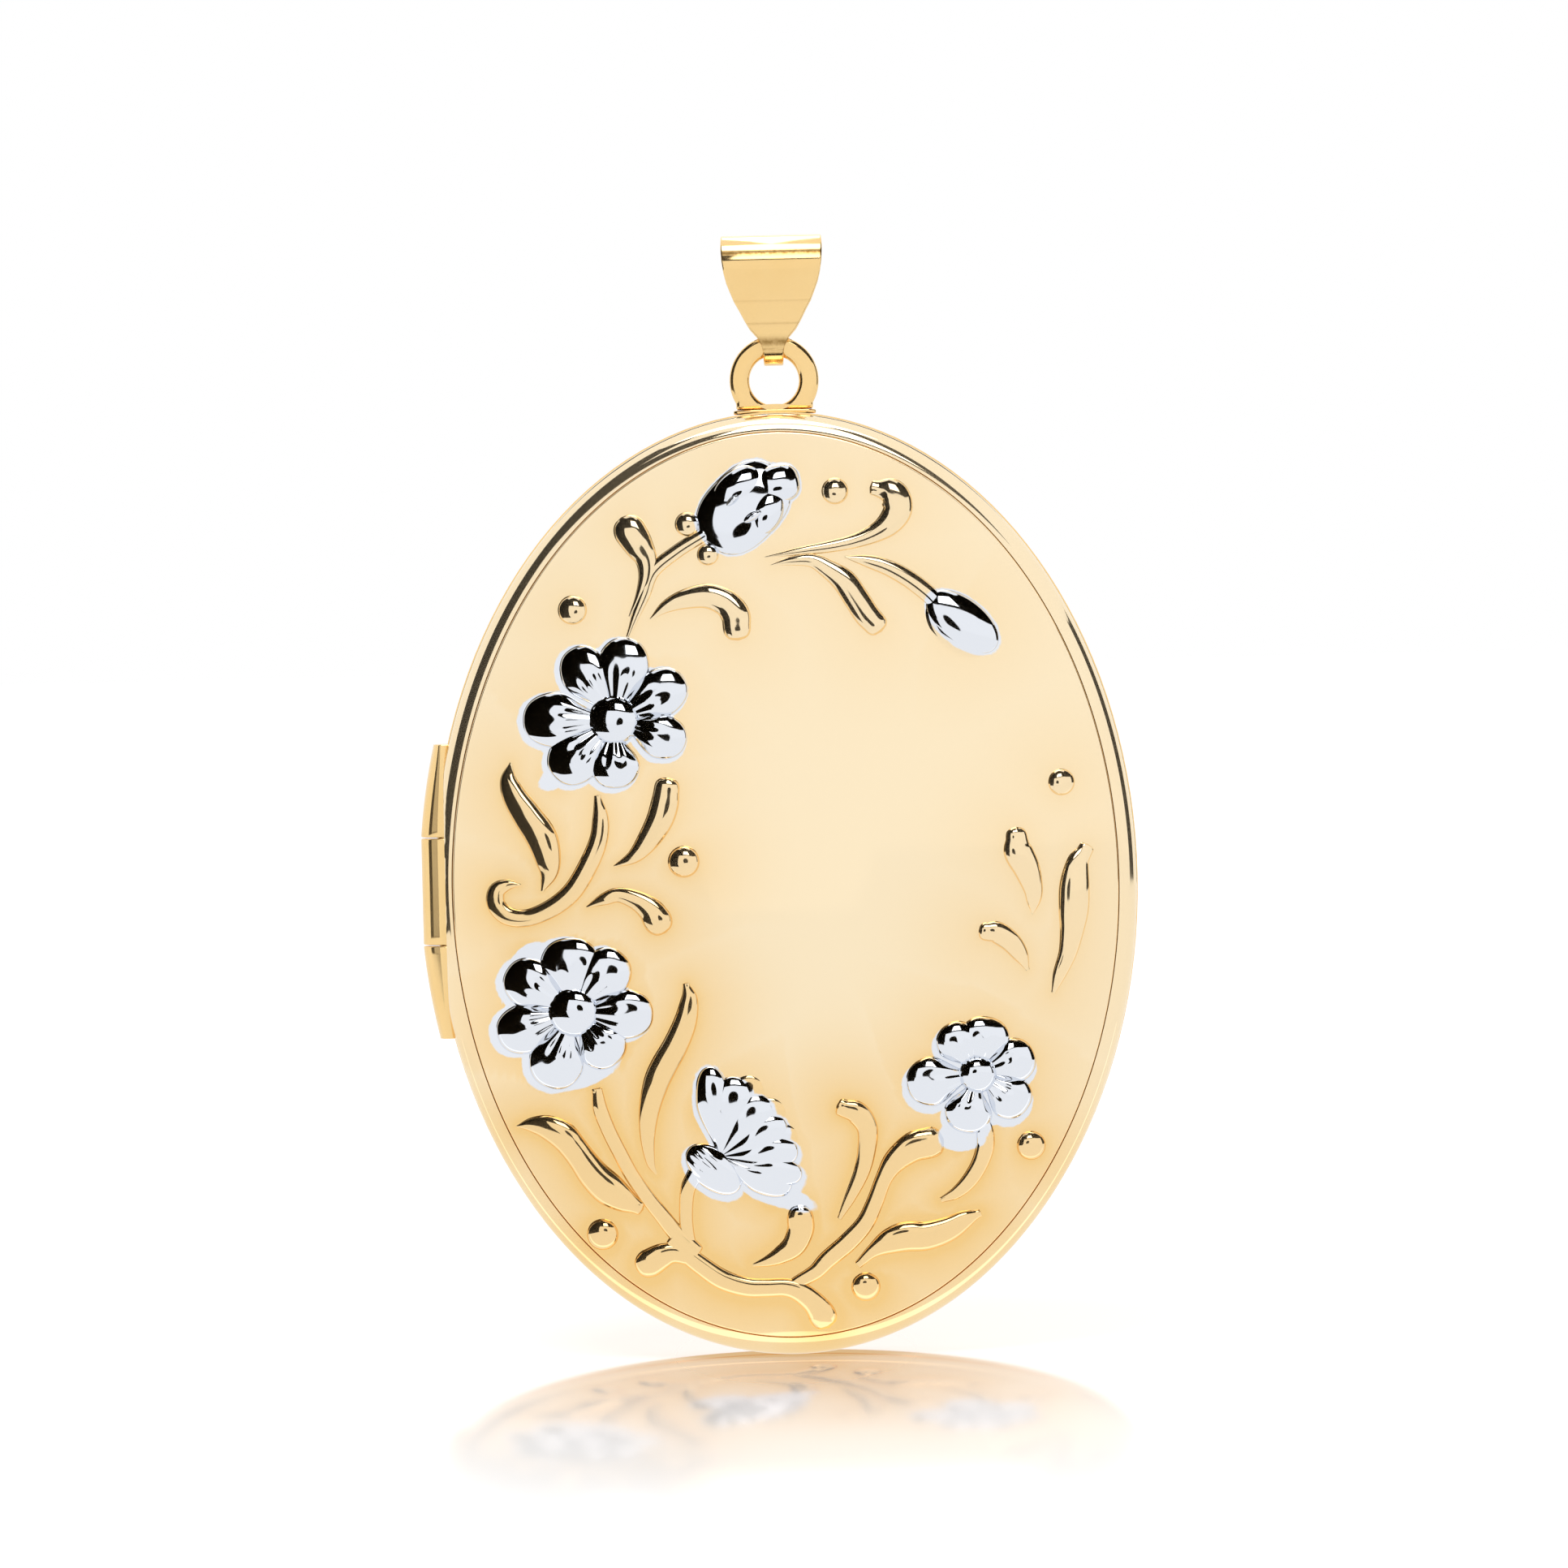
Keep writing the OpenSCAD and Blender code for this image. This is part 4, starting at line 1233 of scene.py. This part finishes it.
bailStrip = makeBail()
ringWasher = makeRing()
faceOutwards(bailStrip)
faceOutwards(ringWasher)
finishPiece(bailStrip, polishedGold, "bail", "polished_gold", "bail")
finishPiece(ringWasher, polishedGold, "back_half", "polished_gold", "bail_ring")
print("bail and ring ready")


# hinge: tubes with softened ends, whose outer side follows the bow of the oval

barrel = {
    "bore": 0.304,          # mm
    "corner": 0.05,
    "bowRadius": 27.326,    # the oval's side is close to this circle, and the tubes stand out to it
    "bowMiddle": 11.806,
    "hingeMiddle": -26.14,
}


def barrelSection(halfWide, halfLong):
    corner = barrel["corner"]
    points = []
    for side in (1, -1):
        for share in np.linspace(-1, 1, 14):
            points.append((side * halfWide, side * share * (halfLong - corner)))
        for centre, start in ((side, 0), (-side, 90)):
            for turn in np.radians(np.linspace(start, start + 90, 5)):
                points.append((centre * (halfWide - corner) + side * corner * math.cos(turn),
                               side * (halfLong - corner + corner * math.sin(turn))))
    return points


def makeBarrel(name, node):
    low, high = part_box(node)
    outer = (high[0] - low[0]) / 2 / mm
    axisX, axisY = high[0] / mm - outer, (high[1] + low[1]) / 2 / mm
    middleZ, halfLong = (high[2] + low[2]) / 2 / mm, (high[2] - low[2]) / 2 / mm
    wall = outer - barrel["bore"]
    section = barrelSection(wall / 2, halfLong)
    obj, turns, _, minor = startLoop(96, len(section))
    points = np.zeros((len(turns), 3))
    for index, turn in enumerate(turns):
        side, rise = section[minor[index]]
        radius = barrel["bore"] + wall / 2 + side
        height = middleZ + rise
        drop = height - barrel["hingeMiddle"]
        bow = barrel["bowMiddle"] - math.sqrt(barrel["bowRadius"] ** 2 - drop ** 2)
        squeeze = min(1, (axisX - bow) / outer) if math.cos(turn) < 0 else 1
        squeeze = 1 + (squeeze - 1) * (radius - barrel["bore"]) / wall
        points[index] = (axisX + radius * math.cos(turn) * squeeze, axisY + radius * math.sin(turn),
                         height)
    setPoints(obj, points * mm)
    obj.name = name
    faceOutwards(obj)
    return obj


barrels = []
for place, body in (("upper", "back_half"), ("middle", "front_half"), ("lower", "back_half")):
    tube = makeBarrel("hinge_barrel_" + place, "hinge_knuckle_" + place)
    barrels.append(finishPiece(tube, polishedGold, body, "polished_gold", "hinge_knuckle_" + place))


# foot of the ring: a thin bar with soft edges, hollowed below to sit on the oval

footForm = {
    "thick": 0.14,      # mm, in the middle
    "square": 5,        # how square its section is
    "endRound": 0.3,    # how late it closes at the ends
    "spread": 0.8,      # more sections towards the ends
}


def makeFoot():
    low, high = (np.array(corner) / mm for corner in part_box("ring_foot"))
    bow = high[2] - low[2] - footForm["thick"]
    foot, ball, reach, turn = startBall(32, 40)
    along = ball[:, 2]
    power = footForm["square"]
    corner = (np.abs(np.cos(turn)) ** power + np.abs(np.sin(turn)) ** power) ** (-1 / power)
    ending = corner * reach ** footForm["endRound"]
    x = (high[0] - low[0]) / 2 * np.sign(along) * np.abs(along) ** footForm["spread"]
    y = (high[1] + low[1]) / 2 + (high[1] - low[1]) / 2 * np.cos(turn) * ending
    halfHigh = footForm["thick"] / 2 + bow / 2 * (x / high[0]) ** 2
    z = high[2] - halfHigh + halfHigh * np.sin(turn) * ending
    setPoints(foot, np.stack([x, y, z], axis=1) * mm)
    foot.name = "ring_foot_bar"
    faceOutwards(foot)
    return foot


finishPiece(makeFoot(), polishedGold, "back_half", "polished_gold", "ring_foot")
print("hinge and foot ready")


# windows: polished oval panes, a hair thinner than their seat so that they don't touch the picture

window = {"gap": 0.03, "inset": 0.05, "edge": 0.04}    # mm off each face, off the rim, bevel


def makeWindow(node):
    low, high = (np.array(corner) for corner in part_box(node))
    half = (high - low) / 2
    bpy.ops.mesh.primitive_cylinder_add(vertices=160, radius=1, depth=2, location=(low + high) / 2,
                                        rotation=(math.pi / 2, 0, 0))
    pane = bpy.context.object
    inset = window["inset"] * mm
    pane.scale = (half[0] - inset, half[2] - inset, half[1] - window["gap"] * mm)
    bpy.ops.object.transform_apply(location=True, rotation=True, scale=True)
    softened = pane.modifiers.new("softened", "BEVEL")
    softened.width = window["edge"] * mm
    softened.segments = 3
    bpy.ops.object.modifier_apply(modifier="softened")
    pane.name = node + "_pane"
    return pane


for side in ("back", "front"):
    finishPiece(makeWindow(side + "_window"), acrylic, side + "_half", "clear_window", side + "_window")
print("windows cut")


# finishes of the nodes that keep their own shape

finishes = {
    "back_rim": polishedGold, "front_rim": polishedGold,
    "snap_band": polishedGold, "back_hinge_bearer": polishedGold, "front_hinge_bearer": polishedGold,
    "hinge_pin": drawnWire,
    "back_liner": brushedGold, "front_liner": brushedGold,
    "back_photo_frame": polishedGold, "front_photo_frame": polishedGold,
    "back_photo_card": cardStock, "front_photo_card": cardStock,
}
for name, material in finishes.items():
    for slot in frame["nodes"][name].material_slots:
        slot.material = material
print("nodes finished:", len(finishes))


# which pieces each card lights: the flags stay dark to the fronts, which need dark lines to read

shown = [obj for obj in bpy.data.objects if obj.type == "MESH" and "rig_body" in obj]
plain = [obj for obj in shown if obj not in embossing]
behind = [obj for obj in plain if obj != frontCover]
rims = [frame["nodes"]["front_rim"], frame["nodes"]["back_rim"]]
litPieces = {
    "softbox": shown,
    "topPanel": plain, "backPanel": plain, "ceilingStrip": plain, "leftCeiling": plain,
    "petalWing": plain, "lowWing": plain,
    "floorBackdrop": behind, "backFlag": behind,
    "leftWing": [frontCover] + barrels + rims, "rightWing": [frontCover] + rims,
    "leftFlag": rims, "rightFlag": rims,
    "hingeGlow": barrels,
    "upperLeftFlag": [], "upperStrip": [], "upperRightFlag": [],
}
lightOnly(lensHood, plain)
# painted reflection: the strip matches the floor for every piece but the bail, which shows it as a dark
# reflection
lightOnly(floorCloth, [obj for obj in shown if obj != bailStrip])
for name, pieces in litPieces.items():
    lightOnly(hungCards[name], pieces + [floor])
print("cards aimed:", len(litPieces))
